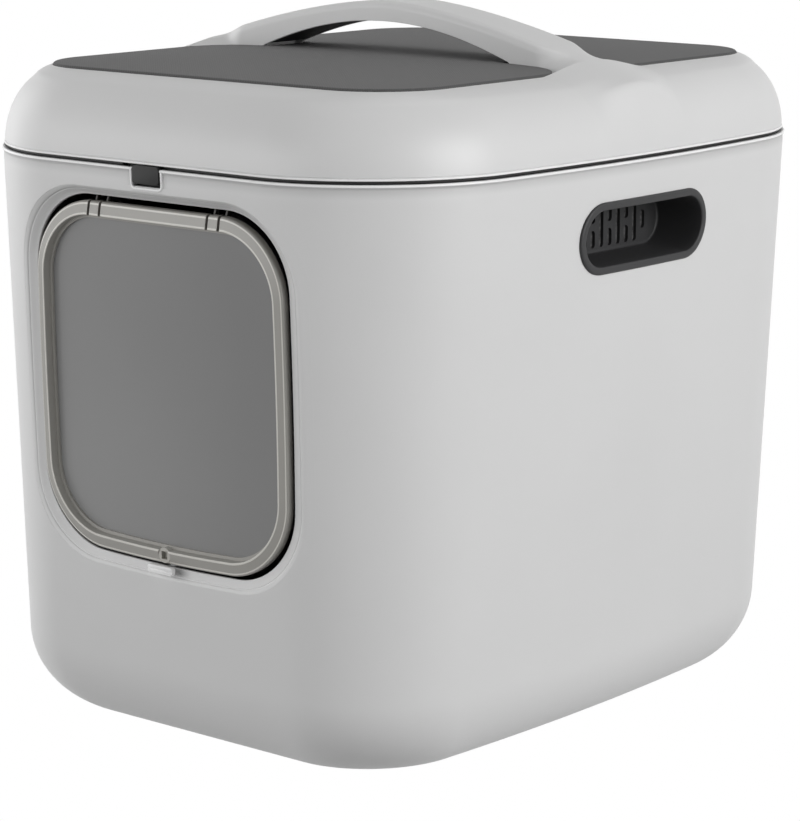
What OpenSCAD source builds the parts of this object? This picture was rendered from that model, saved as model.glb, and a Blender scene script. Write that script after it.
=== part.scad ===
// Enclosed litter box: open-topped base, hinged lid with a carrying arch, swinging front flap,
// and a filtered hand grip in each side. Millimetres, +Z up, the flap faces -Y.
// The origin is the centre of the flat underside.

/* [Base] */
// Width across the rim, at the middle of the sides
body_w = 400; // [380:1:440]
// Depth across the rim
body_d = 478; // [460:1:520]
// Height of the base, from the floor to the lid seam
body_h = 370; // [355:1:400]
// Radius of the upright corners, seen from above
corner_r = 102; // [90:1:110]
// How far the side and rear walls lean in between the rim and the floor
wall_lean = 21.8; // [14:0.1:26]
// How far the front wall leans in between the rim and the floor
front_lean = 16.8; // [12:0.1:20]
// How much smaller the upright corners get towards the floor
corner_shrink = 35; // [20:1:40]
// Width of the turn from the walls into the floor
foot_r = 49; // [30:1:55]
// Height of the turn from the walls into the floor
foot_h = 55; // [30:1:65]
// How far the long sides curve in towards the corners
side_bow = 19.6; // [8:0.1:24]
// Wall thickness of the base
wall = 3; // [2.4:0.1:3.6]
// How far the bead round the rim stands proud
bead_out = 0.9; // [0.5:0.1:1.4]
// Height of the bead round the rim
bead_h = 1.8; // [1.6:0.1:4]

/* [Flap] */
// Width of the flap
flap_w = 209; // [190:1:215]
// Height of the flap
flap_h = 222.3; // [200:0.1:230]
// Distance from the seam down to the top edge of the flap
flap_drop = 24.5; // [22:0.1:34]
// Corner radius of the flap
flap_r = 48; // [36:1:56]
// How much the flap's sides bulge
flap_side_bulge = 2; // [0:0.1:4]
// How much the flap's lower edge bulges
flap_foot_bulge = 4; // [0:0.1:6]
// Width of the flap's band along the sides
band_side = 7; // [6:0.1:9]
// Width of the flap's band along the top and the foot
band_end = 8.8; // [8.6:0.1:11]
// How far the flap leans back with the wall, in degrees
flap_tilt = 1.6; // [0:0.1:2.6]
// Depth of the flap's pivot behind the outside of the wall
pivot_depth = 8.4; // [7.6:0.1:10]
// Running gap round the flap
flap_gap = 2.4; // [2.2:0.1:3]
// Thickness of the smoked pane
pane_t = 2.2; // [1.6:0.1:2.6]
// Width of the soft dish that the wall forms round the flap
dish_w = 11; // [8:0.1:11.5]
// Distance between the two flap hinges
flap_hinge_span = 100; // [80:1:120]
// Width of a flap hinge clip
clip_w = 7.4; // [6:0.1:10]

/* [Flap lock] */
// Width of the lock's finger tab
lock_w = 21; // [18:0.5:28]
// Height of the lock's finger tab
lock_h = 5.2; // [4.8:0.1:6]
// Travel of the lock
lock_travel = 2.2; // [1.6:0.1:2.3]

/* [Grips and filters] */
// Length of a grip's flange
grip_l = 133; // [115:1:145]
// Height of a grip's flange
grip_h = 45; // [41:0.5:50]
// Distance from the seam down to the middle of a grip
grip_drop = 46; // [42:0.5:60]
// Width of a grip's flange
flange_w = 5; // [4:0.1:6]
// How far a grip's flange stands proud of the side
flange_t = 1.9; // [1.2:0.1:3]
// Depth of a grip's cup
cup_depth = 34; // [26:0.5:40]
// Wall thickness of a grip's cup
cup_t = 2; // [1.5:0.1:2.5]
// Distance between the grille's columns
slot_pitch = 8.8; // [7.6:0.1:10]
// Width of a grille slot
slot_w = 4.6; // [3.6:0.1:5.4]
// Thickness of the charcoal pad
pad_t = 8; // [5:0.5:12]

/* [Lid] */
// Height of the dark seam line between base and lid
seam_h = 2; // [1.6:0.1:3]
// Rise of the lid's rounded shoulder
shoulder_h = 48.4; // [40:0.1:60]
// Width of the lid's rounded shoulder, seen from above
shoulder_w = 43; // [36:0.1:50]
// How far the lid's lower edge lies inside the rim
lid_in = 1.2; // [0.8:0.1:1.6]
// Wall thickness of the lid
lid_wall = 2.5; // [2:0.1:2.8]
// Crown of the dark top panel
panel_crown = 5; // [2:0.1:8]
// Thickness of the dark top panel
panel_t = 2.6; // [2:0.1:3]
// Depth that the lid's skirt reaches into the base
skirt_h = 7.5; // [5:0.1:8]

/* [Handle] */
// Rise of the carrying arch above the lid's shoulder
arch_rise = 38; // [36:0.5:50]
// Width of the arch
arch_w = 40; // [36:0.5:50]
// Distance from the side of the top panel to the opening under the arch
arch_inset = 45; // [43:1:55]
// Height of the opening under the arch
arch_open = 23.7; // [20:0.1:25]
// Width of each foot of the arch where it meets the shoulder
foot_w = 104; // [90:1:120]
// Thickness of the dark liner under the arch
liner_t = 3; // [2:0.1:3.5]

/* [Lid hinge] */
// Distance between the two lid hinges
hinge_span = 124; // [110:1:130]
// Width of a lid hinge
hinge_w = 44; // [38:1:48]
// Radius of a hinge knuckle
knuckle_r = 5; // [4.6:0.1:5.4]
// Radius of a lid hinge pin
hinge_pin_r = 2; // [1.5:0.1:2.5]

/* [Lid latch] */
// Width of the latch tab
tab_w = 22; // [18:0.5:26]
// Height of the latch tab below the seam
tab_h = 9.6; // [8:0.1:10.4]
// Radius of the latch pin
latch_pin_r = 1.5; // [1:0.1:2]

/* [Fits] */
// Radial clearance of a pin in its bore
pin_fit = 0.05; // [0.03:0.01:0.1]
// Gap between pieces that lie against each other
seat_gap = 0.3; // [0.2:0.05:0.4]

/* [Hidden] */

// Half sizes and the number of steps in each quarter turn and side
half_w = body_w / 2;
half_d = body_d / 2;
corner_steps = 9;
side_steps = 6;
end_steps = 2;

// Heights of the lid and of the flap
lid_z = body_h + seam_h;
crest_z = lid_z + shoulder_h;
crest_in = lid_in + shoulder_w;
flap_top = body_h - flap_drop;
flap_foot = flap_top - flap_h;
flap_mid = (flap_top + flap_foot) / 2;
grip_z = body_h - grip_drop;

// The light colours are the mouldings, the dark ones the trim
shell_grey = [0.76, 0.76, 0.76];
trim_grey = [0.36, 0.36, 0.36];
dark_grey = [0.16, 0.16, 0.16];
steel_grey = [0.62, 0.62, 0.64];

// Even blend from 0 to 1
function blend(t) = let (u = min(1, max(0, t))) u * u * (3 - 2 * u);

// Rounded rectangle as a closed list of points: half sizes a and b, corner radius r
function corner_arc(cx, cy, r, from, steps) = [
    for (i = [0 : steps])
        let (t = from + 90 * i / steps)
        [cx + r * cos(t), cy + r * sin(t)]
];
function between(p, q, steps) = steps < 2 ? [] : [for (i = [1 : steps - 1]) p + (q - p) * i / steps];
function rounded(a, b, r, turn, tall, flat) = [
    each corner_arc(a - r, b - r, r, 0, turn),
    each between([a - r, b], [r - a, b], flat),
    each corner_arc(r - a, b - r, r, 90, turn),
    each between([-a, b - r], [-a, r - b], tall),
    each corner_arc(r - a, r - b, r, 180, turn),
    each between([r - a, -b], [a - r, -b], flat),
    each corner_arc(a - r, r - b, r, 270, turn),
    each between([a, r - b], [a, b - r], tall)
];

// Outline of the box at an inset, with corner radius r and part of the side bow;
// the front may have an inset of its own
function bowed(x, y, share) = x * (1 - share * side_bow / half_w * pow(y / half_d, 2));
function outline(inset, r, share, front = undef) =
    let (shift = front == undef ? 0 : (front - inset) / 2)
    [
        for (p = rounded(half_w - inset, half_d - inset - shift, r, corner_steps, side_steps, end_steps))
            [bowed(p.x, p.y, share), p.y + shift]
    ];
function at_height(points, z) = [for (p = points) [p.x, p.y, z]];

// Wall of the base: inset and corner radius against height, thick is measured from the outside
function wall_in(z) = wall_lean * (body_h - z) / body_h;
function front_in(z) = front_lean * (body_h - z) / body_h;
function wall_corner(z) = corner_r - corner_shrink * (body_h - z) / body_h;
function wall_ring(z, thick) =
    at_height(outline(wall_in(z) + thick, wall_corner(z) - thick, 1, front_in(z) + thick), z);
function foot_ring(turn, thick) =
    let (more = thick + (foot_r - thick) * (1 - sin(turn)))
    let (z = thick + (foot_h - thick) * (1 - cos(turn)))
    let (r = wall_corner(foot_h) - thick - foot_corner * (more - thick))
    at_height(outline(wall_in(foot_h) + more, r, 1, front_in(foot_h) + more), z);
foot_corner = 0.36;

// Where the outside of the front wall and of the right-hand wall lie
function front_y(x, z) =
    let (ring = wall_ring(z, 0))
    let (first = 2 * (corner_steps + 1) + end_steps + side_steps - 2)
    let (count = 2 * (corner_steps + 1) + end_steps - 1)
    lookup(x, [for (i = [first : first + count - 1]) [ring[i].x, ring[i].y]]);
function side_x(y, z) =
    let (shift = (front_in(z) - wall_in(z)) / 2)
    let (reach = half_d - wall_in(z) - shift - wall_corner(z))
    lookup(y, [
        for (k = [0 : side_steps])
            let (v = reach * (2 * k / side_steps - 1))
            [v + shift, bowed(half_w - wall_in(z), v, 1)]
    ]);

// Solid through a list of rings, with flat ends, or closed on itself like a tyre
module skin(rings, looped = false) {
    count = len(rings);
    size = len(rings[0]);
    last = looped ? count - 1 : count - 2;
    walls = [
        for (j = [0 : last], i = [0 : size - 1])
            let (a = j * size + i)
            let (b = j * size + (i + 1) % size)
            let (c = ((j + 1) % count) * size + (i + 1) % size)
            let (d = ((j + 1) % count) * size + i)
            each [[a, d, c], [a, c, b]]
    ];
    ends = looped ? [] : [
        [for (i = [0 : size - 1]) i],
        [for (i = [0 : size - 1]) count * size - 1 - i]
    ];
    polyhedron(points = [for (ring = rings) each ring], faces = concat(walls, ends), convexity = 8);
}

// Shape drawn in Y and Z and carried across X
module across(width) {
    rotate([90, 0, 90]) linear_extrude(height = width, center = true) children();
}

// Round bar along X
module bar(radius, length) {
    rotate([0, 90, 0]) cylinder(r = radius, h = length, center = true, $fn = 32);
}

// Block between two corners
module block(low, high) {
    translate(low) cube(high - low);
}

// Place and outline of the flap

// The flap leans a little less than the wall and is level with it half way up
crest_mid_y = front_y(0, flap_mid) + 0.4;
function crest_y(z) = crest_mid_y - (z - flap_mid) * tan(flap_tilt);
pin_drop = 5.4;
flap_axis_z = flap_top - pin_drop;
flap_axis_y = crest_y(flap_axis_z) + pivot_depth;
flap_pin_r = 1.5;
clip_x = flap_hinge_span / 2;
clip_wall = 1.4;
clip_eye_r = 2.9;
top_gap = flap_gap + 0.6;
edge_in = 5;

// Outline of the flap, grown by side and end, with its bulged sides and foot
function flap_outline(side, top, foot, r) = [
    for (p = rounded(
            flap_w / 2 - flap_side_bulge + side,
            (flap_h - flap_foot_bulge + top + foot) / 2,
            r, 8, 4, 4))
        let (a = flap_w / 2 - flap_side_bulge + side)
        let (b = (flap_h - flap_foot_bulge + top + foot) / 2)
        let (zc = flap_foot + flap_foot_bulge - foot + b)
        let (drop = p.y < 0 ? flap_foot_bulge * (1 - pow(p.x / a, 2)) * pow(p.y / b, 2) : 0)
        [
            p.x * (1 + flap_side_bulge / a * (1 - pow(p.y / b, 2))),
            zc + p.y - drop
        ]
];
function band_outline(part, extra) = flap_outline(
    -part * band_side - extra, -part * band_end - extra, -part * band_end - extra,
    flap_r - part * (band_side + band_end) / 2 - extra
);

// Shape drawn in the plane of the flap, with Y measured back from its front edge
module on_flap() {
    translate([0, flap_axis_y, flap_axis_z]) rotate([flap_tilt, 0, 0])
        translate([0, -pivot_depth, -flap_axis_z]) children();
}
function on_plane(points, y) = [for (p = points) [p.x, y, p.y]];

module flap_frame() {
    color(trim_grey) on_flap() difference() {
        union() {
            skin([
                on_plane(band_outline(0, 0), 6.6),
                on_plane(band_outline(0, 0), 3.4),
                on_plane(band_outline(0, 1.2), 1.9),
                on_plane(band_outline(0.9, 0), 0.1),
                on_plane(band_outline(1, 0), 0.6),
                on_plane(band_outline(1, 0.3), 5.2),
                on_plane(band_outline(1, 2.2), 5.4),
                on_plane(band_outline(1, 2.2), 7),
                on_plane(band_outline(1, -1.8), 7),
                on_plane(band_outline(1, -2), 2.6),
                on_plane(band_outline(0, 2), 3.9),
                on_plane(band_outline(0, 1.8), 6.6)
            ], looped = true);
            for (side = [-1, 1])
                translate([side * clip_x, pivot_depth, flap_axis_z]) {
                    bar(clip_eye_r, clip_w + 10);
                    translate([-clip_w / 2 - 5, -pivot_depth + 2.3, -clip_eye_r])
                        cube([clip_w + 10, pivot_depth - 2.3, 2 * clip_eye_r]);
                }
            translate([0, 2.6, keeper_z]) rotate([-90, 0, 0]) cylinder(r = keeper_r + 0.6, h = 4.4, $fn = 32);
        }
        for (side = [-1, 1]) {
            translate([side * clip_x, pivot_depth, flap_axis_z]) bar(flap_pin_r, clip_w + 30);
            for (prong = [-1, 1])
                translate([side * clip_x + prong * (clip_w / 2 + clip_wall / 2 + 0.4), 0, flap_axis_z])
                    block(
                        [-clip_wall / 2 - 0.4, -1, -clip_eye_r - 0.5],
                        [clip_wall / 2 + 0.4, 14, 20]
                    );
        }
        translate([0, -1, keeper_z]) rotate([-90, 0, 0]) cylinder(r = keeper_r, h = 9, $fn = 32);
    }
}

// Smoked pane behind the band
module flap_pane() {
    color([0.42, 0.42, 0.42]) on_flap() translate([0, 7 + pane_t, 0]) rotate([90, 0, 0])
        linear_extrude(height = pane_t) difference() {
            polygon(flap_outline(
                -band_side - 0.4, -band_end - 0.6, -band_end - 0.6, flap_r - band_end
            ));
            translate([0, keeper_z]) circle(r = keeper_r + 0.3, $fn = 32);
        }
}

// Clear plug in the foot of the band, with a socket in front and a slot for the lock behind
keeper_r = 4.9;
keeper_z = flap_foot + 5.6;
tongue_t = 2;
tongue_w = 4.6;
tongue_y = 9.6;
module flap_keeper() {
    color([0.8, 0.82, 0.84]) on_flap() translate([0, 0, keeper_z]) difference() {
        union() {
            translate([0, 0.9, 0]) rotate([-90, 0, 0]) cylinder(r = keeper_r, h = 6.4, $fn = 32);
            block([-4.6, 7.2, -5.4], [4.6, 12.8, 3.5]);
        }
        block([-2.5, -1, -2.5], [2.5, 4, 2.5]);
        block(
            [-tongue_w / 2 - 0.5, tongue_y - tongue_t / 2 - 0.6, -7],
            [tongue_w / 2 + 0.5, tongue_y + tongue_t / 2 + 0.6, 2.6]
        );
    }
}

module flap_pin(side) {
    color(steel_grey) on_flap() translate([side * clip_x, pivot_depth, flap_axis_z])
        bar(flap_pin_r, clip_w + 9.4);
}
module flap_pin_right() { flap_pin(1); }
module flap_pin_left() { flap_pin(-1); }

// Two-pronged clip that hangs from a flat land above the opening
land_y = flap_axis_y + 0.6;
land_low = flap_top + top_gap + 1.6;
land_high = body_h - 9;
module flap_clip(side) {
    color(shell_grey) translate([side * clip_x, 0, 0]) difference() {
        union() {
            block([-clip_w / 2 - 3, land_y, land_low], [clip_w / 2 + 3, land_y + 2.6, land_high]);
            for (prong = [-1, 1])
                translate([prong * (clip_w / 2 + clip_wall / 2 + 0.4), 0, 0]) {
                    translate([0, flap_axis_y, flap_axis_z]) bar(clip_eye_r, clip_wall);
                    across(clip_wall) polygon([
                        [flap_axis_y - 1.2, flap_axis_z],
                        [flap_axis_y + clip_eye_r, flap_axis_z],
                        [land_y + 2.6, land_low + 2],
                        [land_y, land_low],
                        [land_y, land_low - 1],
                        [flap_axis_y - 1.2, flap_axis_z + 4]
                    ]);
                }
        }
        translate([0, flap_axis_y, flap_axis_z]) bar(flap_pin_r + pin_fit, 40);
    }
}
module flap_clip_right() { flap_clip(1); }
module flap_clip_left() { flap_clip(-1); }

// Lock at the foot of the flap

// Finger tab with a neck through the wall and a tongue that rises behind the band
lock_top = flap_foot - 0.5;
lock_back = crest_y(flap_foot) - 0.5;
lock_front = lock_back - 3.2;
neck_w = 8;
neck_low = flap_foot - flap_gap - 2.1;
neck_high = neck_low + 1.9;
tongue_top = flap_foot - 0.7;
tongue_low = neck_low - 5;
tongue_mid = crest_y(keeper_z) + tongue_y;
module flap_lock() {
    color(shell_grey) {
        difference() {
            translate([0, lock_back, lock_top - lock_h / 2]) rotate([90, 0, 0])
                linear_extrude(height = lock_back - lock_front) offset(r = 1.6, $fn = 24)
                    square([lock_w - 3.2, lock_h - 3.2], center = true);
            block([-lock_w, lock_front - 1, lock_top - lock_h / 2 - 0.4],
                [lock_w, lock_front + 0.5, lock_top - lock_h / 2 + 0.4]);
        }
        block(
            [-neck_w / 2, lock_front + 1, neck_low],
            [neck_w / 2, tongue_mid + tongue_t / 2, neck_high]
        );
        block(
            [-tongue_w / 2, tongue_mid - tongue_t / 2, tongue_low],
            [tongue_w / 2, tongue_mid + tongue_t / 2, tongue_top]
        );
    }
}

// Plate behind the wall that keeps the lock from coming out
module flap_lock_plate() {
    slot_x = tongue_w / 2 + pin_fit;
    color(dark_grey) difference() {
        block([-11, tongue_mid - tongue_t / 2, neck_low - 9], [11, tongue_mid + tongue_t / 2 + 1, neck_low]);
        block(
            [-slot_x, tongue_mid - tongue_t, tongue_low - pin_fit],
            [slot_x, tongue_mid + tongue_t / 2 + pin_fit, neck_low + 1]
        );
    }
}

// Base with its surround, lands and pads

// How far the surround has fallen from the wall to the edge of the opening, for a share of its width
function surround_ring(part, thick) =
    let (w = dish_w * (1 - part))
    let (points = flap_outline(
        flap_gap + w, top_gap + w * 0.62, flap_gap + w * 0.8, flap_r - 3 + w * 0.85))
    [
        for (p = points)
            let (fall = blend(part * 0.92 + 0.04))
            let (wall_at = front_y(p.x, p.y))
            let (edge_at = crest_y(p.y) + edge_in)
            [p.x, wall_at + (edge_at - wall_at) * (part >= 1 ? 1 : part <= 0 ? 0 : fall) + thick, p.y]
    ];

// Moulded surround of the flap: the wall dishes in softly to a thin edge
module flap_surround() {
    skin([
        surround_ring(-0.12, wall * 0.7),
        surround_ring(0, 0.06),
        surround_ring(0.3, 0),
        surround_ring(0.6, 0),
        surround_ring(0.85, 0),
        surround_ring(0.97, 0.1),
        surround_ring(1, 0.8),
        surround_ring(1, wall),
        surround_ring(0.75, wall),
        surround_ring(0.35, wall)
    ], looped = true);
}

notch_w = tab_w + 1.4;
notch_low = body_h - tab_h - 2.1;
rim_y = half_d;
hook_x = 16.5;
hook_w = 6.2;
hook_z = notch_low + 2.4;

module flap_surround_opening() {
    translate([0, -half_d + 40, 0]) rotate([90, 0, 0]) linear_extrude(height = 60)
        polygon(flap_outline(
            flap_gap + dish_w * 0.9, top_gap + dish_w * 0.56, flap_gap + dish_w * 0.72,
            flap_r - 3 + dish_w * 0.76
        ));
}

// Long rounded slot across the wall, drawn in Y and Z
module slot_through(length, height, depth) {
    hull() for (end = [-1, 1])
        translate([0, end * (length - height) / 2, 0]) rotate([0, 90, 0])
            cylinder(r = height / 2, h = depth, center = true, $fn = 24);
}

module base_tub() {
    bead = bead_out;
    color(shell_grey) difference() {
        union() {
            difference() {
                skin([
                    foot_ring(0, 0), foot_ring(22, 0), foot_ring(44, 0), foot_ring(66, 0),
                    wall_ring(foot_h, 0),
                    wall_ring(body_h / 2, 0),
                    wall_ring(body_h - bead_h - 1, 0),
                    wall_ring(body_h - bead_h, -bead),
                    wall_ring(body_h - 0.8, -bead),
                    wall_ring(body_h, 0.2),
                    wall_ring(body_h, wall),
                    wall_ring(body_h / 2, wall),
                    wall_ring(foot_h, wall),
                    foot_ring(60, wall), foot_ring(30, wall), foot_ring(0, wall)
                ]);
                flap_surround_opening();
                // Openings for the two grips
                for (side = [-1, 1])
                    translate([side * half_w, 0, grip_z]) slot_through(hole_l, hole_h, 60);
            }
            flap_surround();
            // Flat lands for the flap clips
            for (side = [-1, 1])
                hull() {
                    translate([side * clip_x, 0, 0])
                        block([-9, -rim_y + 3.6, land_high - 1], [9, -rim_y + 4.2, land_high + 1]);
                    translate([side * clip_x, 0, 0])
                        block([-7, land_y - 3, land_low], [7, land_y, land_high]);
                }
            // Catches for the lid latch
            for (side = [-1, 1])
                hull() {
                    translate([side * hook_x, -rim_y + wall / 2, hook_z + 1.6])
                        cube([hook_w, 1, 3.2], center = true);
                    translate([side * hook_x, -rim_y + 5, hook_z + 1]) cube([hook_w, 1, 1.6], center = true);
                }
            // Raised border round the latch notch
            hull() for (side = [-1, 1], low = [0, 1])
                translate([side * (notch_w / 2 - 2), -rim_y + 0.6, low ? notch_low + 2 : body_h - 4])
                    rotate([90, 0, 0]) cylinder(r = 3.6, h = 0.6 + bead, $fn = 24);
            // Pads behind the two lid hinges
            for (side = [-1, 1])
                hull() {
                    translate([side * hinge_span / 2, rim_y - 3.4, body_h - 38])
                        cube([hinge_w, 2, 1], center = true);
                    translate([side * hinge_span / 2, rim_y - 4.4, body_h - skirt_h - 8])
                        cube([hinge_w, 4, 12], center = true);
                }
        }
        // Notch for the lid latch
        hull() {
            for (side = [-1, 1])
                translate([side * (notch_w / 2 - 2), -rim_y + 12, notch_low + 2]) rotate([90, 0, 0])
                    cylinder(r = 2, h = 24, $fn = 24);
            translate([0, -rim_y, body_h + 6]) cube([notch_w, 24, 4], center = true);
        }
        // Window for the neck of the flap lock
        block(
            [-neck_w / 2 - 0.5, crest_y(neck_low), neck_low - 0.5],
            [neck_w / 2 + 0.5, crest_y(neck_low) + 16, neck_high + lock_travel + 0.5]
        );
    }
}

// Hand grips with the filter cassettes behind them

cup_floor_x = side_x(0, grip_z) - cup_depth;
cup_taper = 2.2;
hole_l = grip_l - 2 * (flange_w + 0.8 - cup_t - 0.6);
hole_h = grip_h - 2 * (flange_w + 0.8 - cup_t - 0.6);

// Outline of the grip at an inset, standing out from the wall or at a fixed depth
function stadium(length, height, steps) = [
    [0, -height / 2],
    for (i = [0 : steps])
        let (t = -90 + 180 * i / steps)
        [(length - height) / 2 + height / 2 * cos(t), height / 2 * sin(t)],
    [0, height / 2],
    for (i = [0 : steps])
        let (t = 90 + 180 * i / steps)
        [(height - length) / 2 + height / 2 * cos(t), height / 2 * sin(t)]
];
function grip_points(inset) = stadium(grip_l - 2 * inset, grip_h - 2 * inset, 9);
function on_wall(inset, out) = [
    for (p = grip_points(inset)) [side_x(p.x, grip_z + p.y) + out, p.x, grip_z + p.y]
];
function at_depth(inset, x) = [for (p = grip_points(inset)) [x, p.x, grip_z + p.y]];

// Height of each column of the grille, the middle one first: long, split, long, split, long, short
module grille(depth) {
    for (column = [-5 : 5])
        translate([0, column * slot_pitch, grip_z]) {
            rank = abs(column);
            if (rank == 5) column_slot(12, 0, depth);
            else if (rank % 2 == 0) column_slot(grille_h, 0, depth);
            else for (part = [-1, 1])
                column_slot(grille_h / 2 - 2.2, part * (grille_h / 4 + 1.1), depth);
        }
}
grille_h = grip_h - 2 * (flange_w + cup_taper) - 4;
module column_slot(height, shift, depth) {
    translate([0, 0, shift]) hull() for (end = [-1, 1])
        translate([0, 0, end * (height - slot_w) / 2]) rotate([0, 90, 0])
            cylinder(r = slot_w / 2, h = depth, center = true, $fn = 8);
}

module grip_cup_right() {
    taper_at = flange_w + cup_taper;
    color(dark_grey) difference() {
        skin([
            at_depth(taper_at - cup_t, cup_floor_x - cup_t),
            on_wall(flange_w + 0.8 - cup_t, -wall - 1),
            on_wall(flange_w + 0.8 - cup_t, 0.15),
            on_wall(0, 0.15),
            on_wall(0, flange_t - 0.9),
            on_wall(0.4, flange_t - 0.25),
            on_wall(1.2, flange_t),
            on_wall(flange_w - 0.8, flange_t),
            on_wall(flange_w, flange_t - 0.8),
            on_wall(flange_w + 0.5, -6),
            at_depth(taper_at, cup_floor_x)
        ]);
        translate([cup_floor_x, 0, 0]) grille(3 * cup_t);
    }
}
module grip_cup_left() { mirror([1, 0, 0]) grip_cup_right(); }

pad_inset = flange_w + cup_taper;
module filter_pad_right() {
    color(dark_grey) translate([cup_floor_x - cup_t - pad_t / 2, 0, grip_z])
        slot_through(grip_l - 2 * pad_inset, grip_h - 2 * pad_inset, pad_t);
}
module filter_pad_left() { mirror([1, 0, 0]) filter_pad_right(); }

// Cassette cover: a sleeve round the cup and the pad, with a slotted back
cover_wall = 1.6;
cover_back = 3.2;
cover_sleeve = 10;
vent_pitch = 11;
vent_w = 4;
module filter_cover_right() {
    inner = pad_inset - cup_t - 0.6;
    opening_l = grip_l - 2 * inner;
    opening_h = grip_h - 2 * inner;
    back = cup_floor_x - cup_t - pad_t;
    depth = pad_t + cover_sleeve + cover_back;
    color(trim_grey) difference() {
        translate([back - cover_back + depth / 2, 0, grip_z])
            slot_through(opening_l + 2 * cover_wall, opening_h + 2 * cover_wall, depth);
        translate([back + depth / 2, 0, grip_z]) slot_through(opening_l, opening_h, depth);
        for (row = [-4 : 4])
            block(
                [back - 2 * cover_back, row * vent_pitch - vent_w / 2, grip_z - opening_h / 2 + 6],
                [back + pad_t / 2, row * vent_pitch + vent_w / 2, grip_z + opening_h / 2 - 6]
            );
    }
}
module filter_cover_left() { mirror([1, 0, 0]) filter_cover_right(); }

// Lid shell, arch, seam frame and top panel

panel_x = half_w - crest_in - 0.8;
panel_y = half_d - crest_in + 0.2;
panel_r = 49;
panel_fit = 0.4;

// Ring of the lid at an angle up the shoulder; near the top it takes on the panel's outline
function shoulder_in(t) = lid_in + shoulder_w * (1 - cos(t));
function shoulder_ring(t, thick) =
    let (inset = shoulder_in(t))
    let (share = blend((inset - 24) / (crest_in - 24)))
    let (behind = thick * cos(t))
    let (near = blend((inset - 20) / (crest_in - 20)))
    let (tighter = (corner_r - 0.81 * crest_in - panel_r) * near)
    let (low_r = corner_r - 0.81 * inset - tighter - behind)
    let (low = outline(inset + behind, low_r, (1 - inset / 120) * (1 - near)))
    let (top = rounded(panel_x - behind, panel_y - behind, panel_r, corner_steps, side_steps, end_steps))
    [
        for (i = [0 : len(low) - 1])
            let (p = low[i] * (1 - share) + top[i] * share)
            [p.x, p.y, lid_z + shoulder_h * sin(t) - thick * sin(t)]
    ];
function panel_ring(inset, z) = at_height(
    rounded(panel_x - inset, panel_y - inset, panel_r - inset, corner_steps, side_steps, end_steps), z);

ledge_z = crest_z - panel_t - 0.1;
module lid_shell() {
    skin([
        shoulder_ring(0, 0), shoulder_ring(14, 0), shoulder_ring(28, 0), shoulder_ring(41, 0),
        shoulder_ring(54, 0), shoulder_ring(66, 0), shoulder_ring(78, 0), shoulder_ring(90, 0),
        panel_ring(0.1, ledge_z),
        panel_ring(5, ledge_z),
        panel_ring(5, ledge_z - 2.2),
        panel_ring(1, ledge_z - 2.2),
        shoulder_ring(70, lid_wall), shoulder_ring(48, lid_wall), shoulder_ring(28, lid_wall),
        shoulder_ring(10, lid_wall), shoulder_ring(0, lid_wall)
    ], looped = true);
}

// Height of the top and of the underside of the arch against X
arch_span = panel_x - arch_inset;
arch_reach = half_w - 12;
arch_top = crest_z + arch_rise;
function arch_over(x) = arch_top - 41.5 * pow(min(abs(x), arch_reach) / arch_reach, 1.59);
function arch_under(x) = crest_z + 1.1 + arch_open * pow(max(0, 1 - pow(x / (arch_span + 2), 2)), 1.06);
arch_end = arch_span - 6;
arch_side = 2.3;
arch_skin = 3.5;
function arch_section(x) =
    let (h = arch_w / 2)
    let (top = arch_over(x))
    let (low = arch_under(x))
    let (r = min(4.5, (top - low) / 2.5))
    [
        [x, h - arch_side, low], [x, h, low],
        [x, h, top - r], [x, h - r * 0.13, top - r * 0.5], [x, h - r * 0.5, top - r * 0.13],
        [x, h - r, top], [x, 0, top + 0.3], [x, r - h, top],
        [x, r * 0.5 - h, top - r * 0.13], [x, r * 0.13 - h, top - r * 0.5], [x, -h, top - r],
        [x, -h, low], [x, arch_side - h, low],
        [x, arch_side - h, top - arch_skin], [x, h - arch_side, top - arch_skin]
    ];

// Where the shoulder lies under a foot of the arch
function shoulder_z(x, y) =
    let (inset = half_w - x / (1 - 0.7 * side_bow / half_w * pow(y / half_d, 2)))
    let (c = min(1, max(0, 1 - (inset - lid_in) / shoulder_w)))
    inset > crest_in ? crest_z : lid_z + shoulder_h * sqrt(max(0, 1 - c * c));

// Half width of a foot, and the height of its ridge
flare_from = panel_x - 33;
function foot_half(x) =
    x < flare_from ? arch_w / 2
    : x < panel_x ? foot_w / 2 - (foot_w / 2 - arch_w / 2)
        * sqrt(max(0, 1 - pow((x - flare_from) / (panel_x + 0.01 - flare_from), 2)))
    : foot_w / 2 - 8 * blend((x - panel_x) / 40);
function ridge_z(x) = x < arch_reach ? arch_over(x)
    : arch_over(arch_reach) - 29 * pow((x - arch_reach) / (half_w - 2.2 - arch_reach), 2.2);

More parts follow.
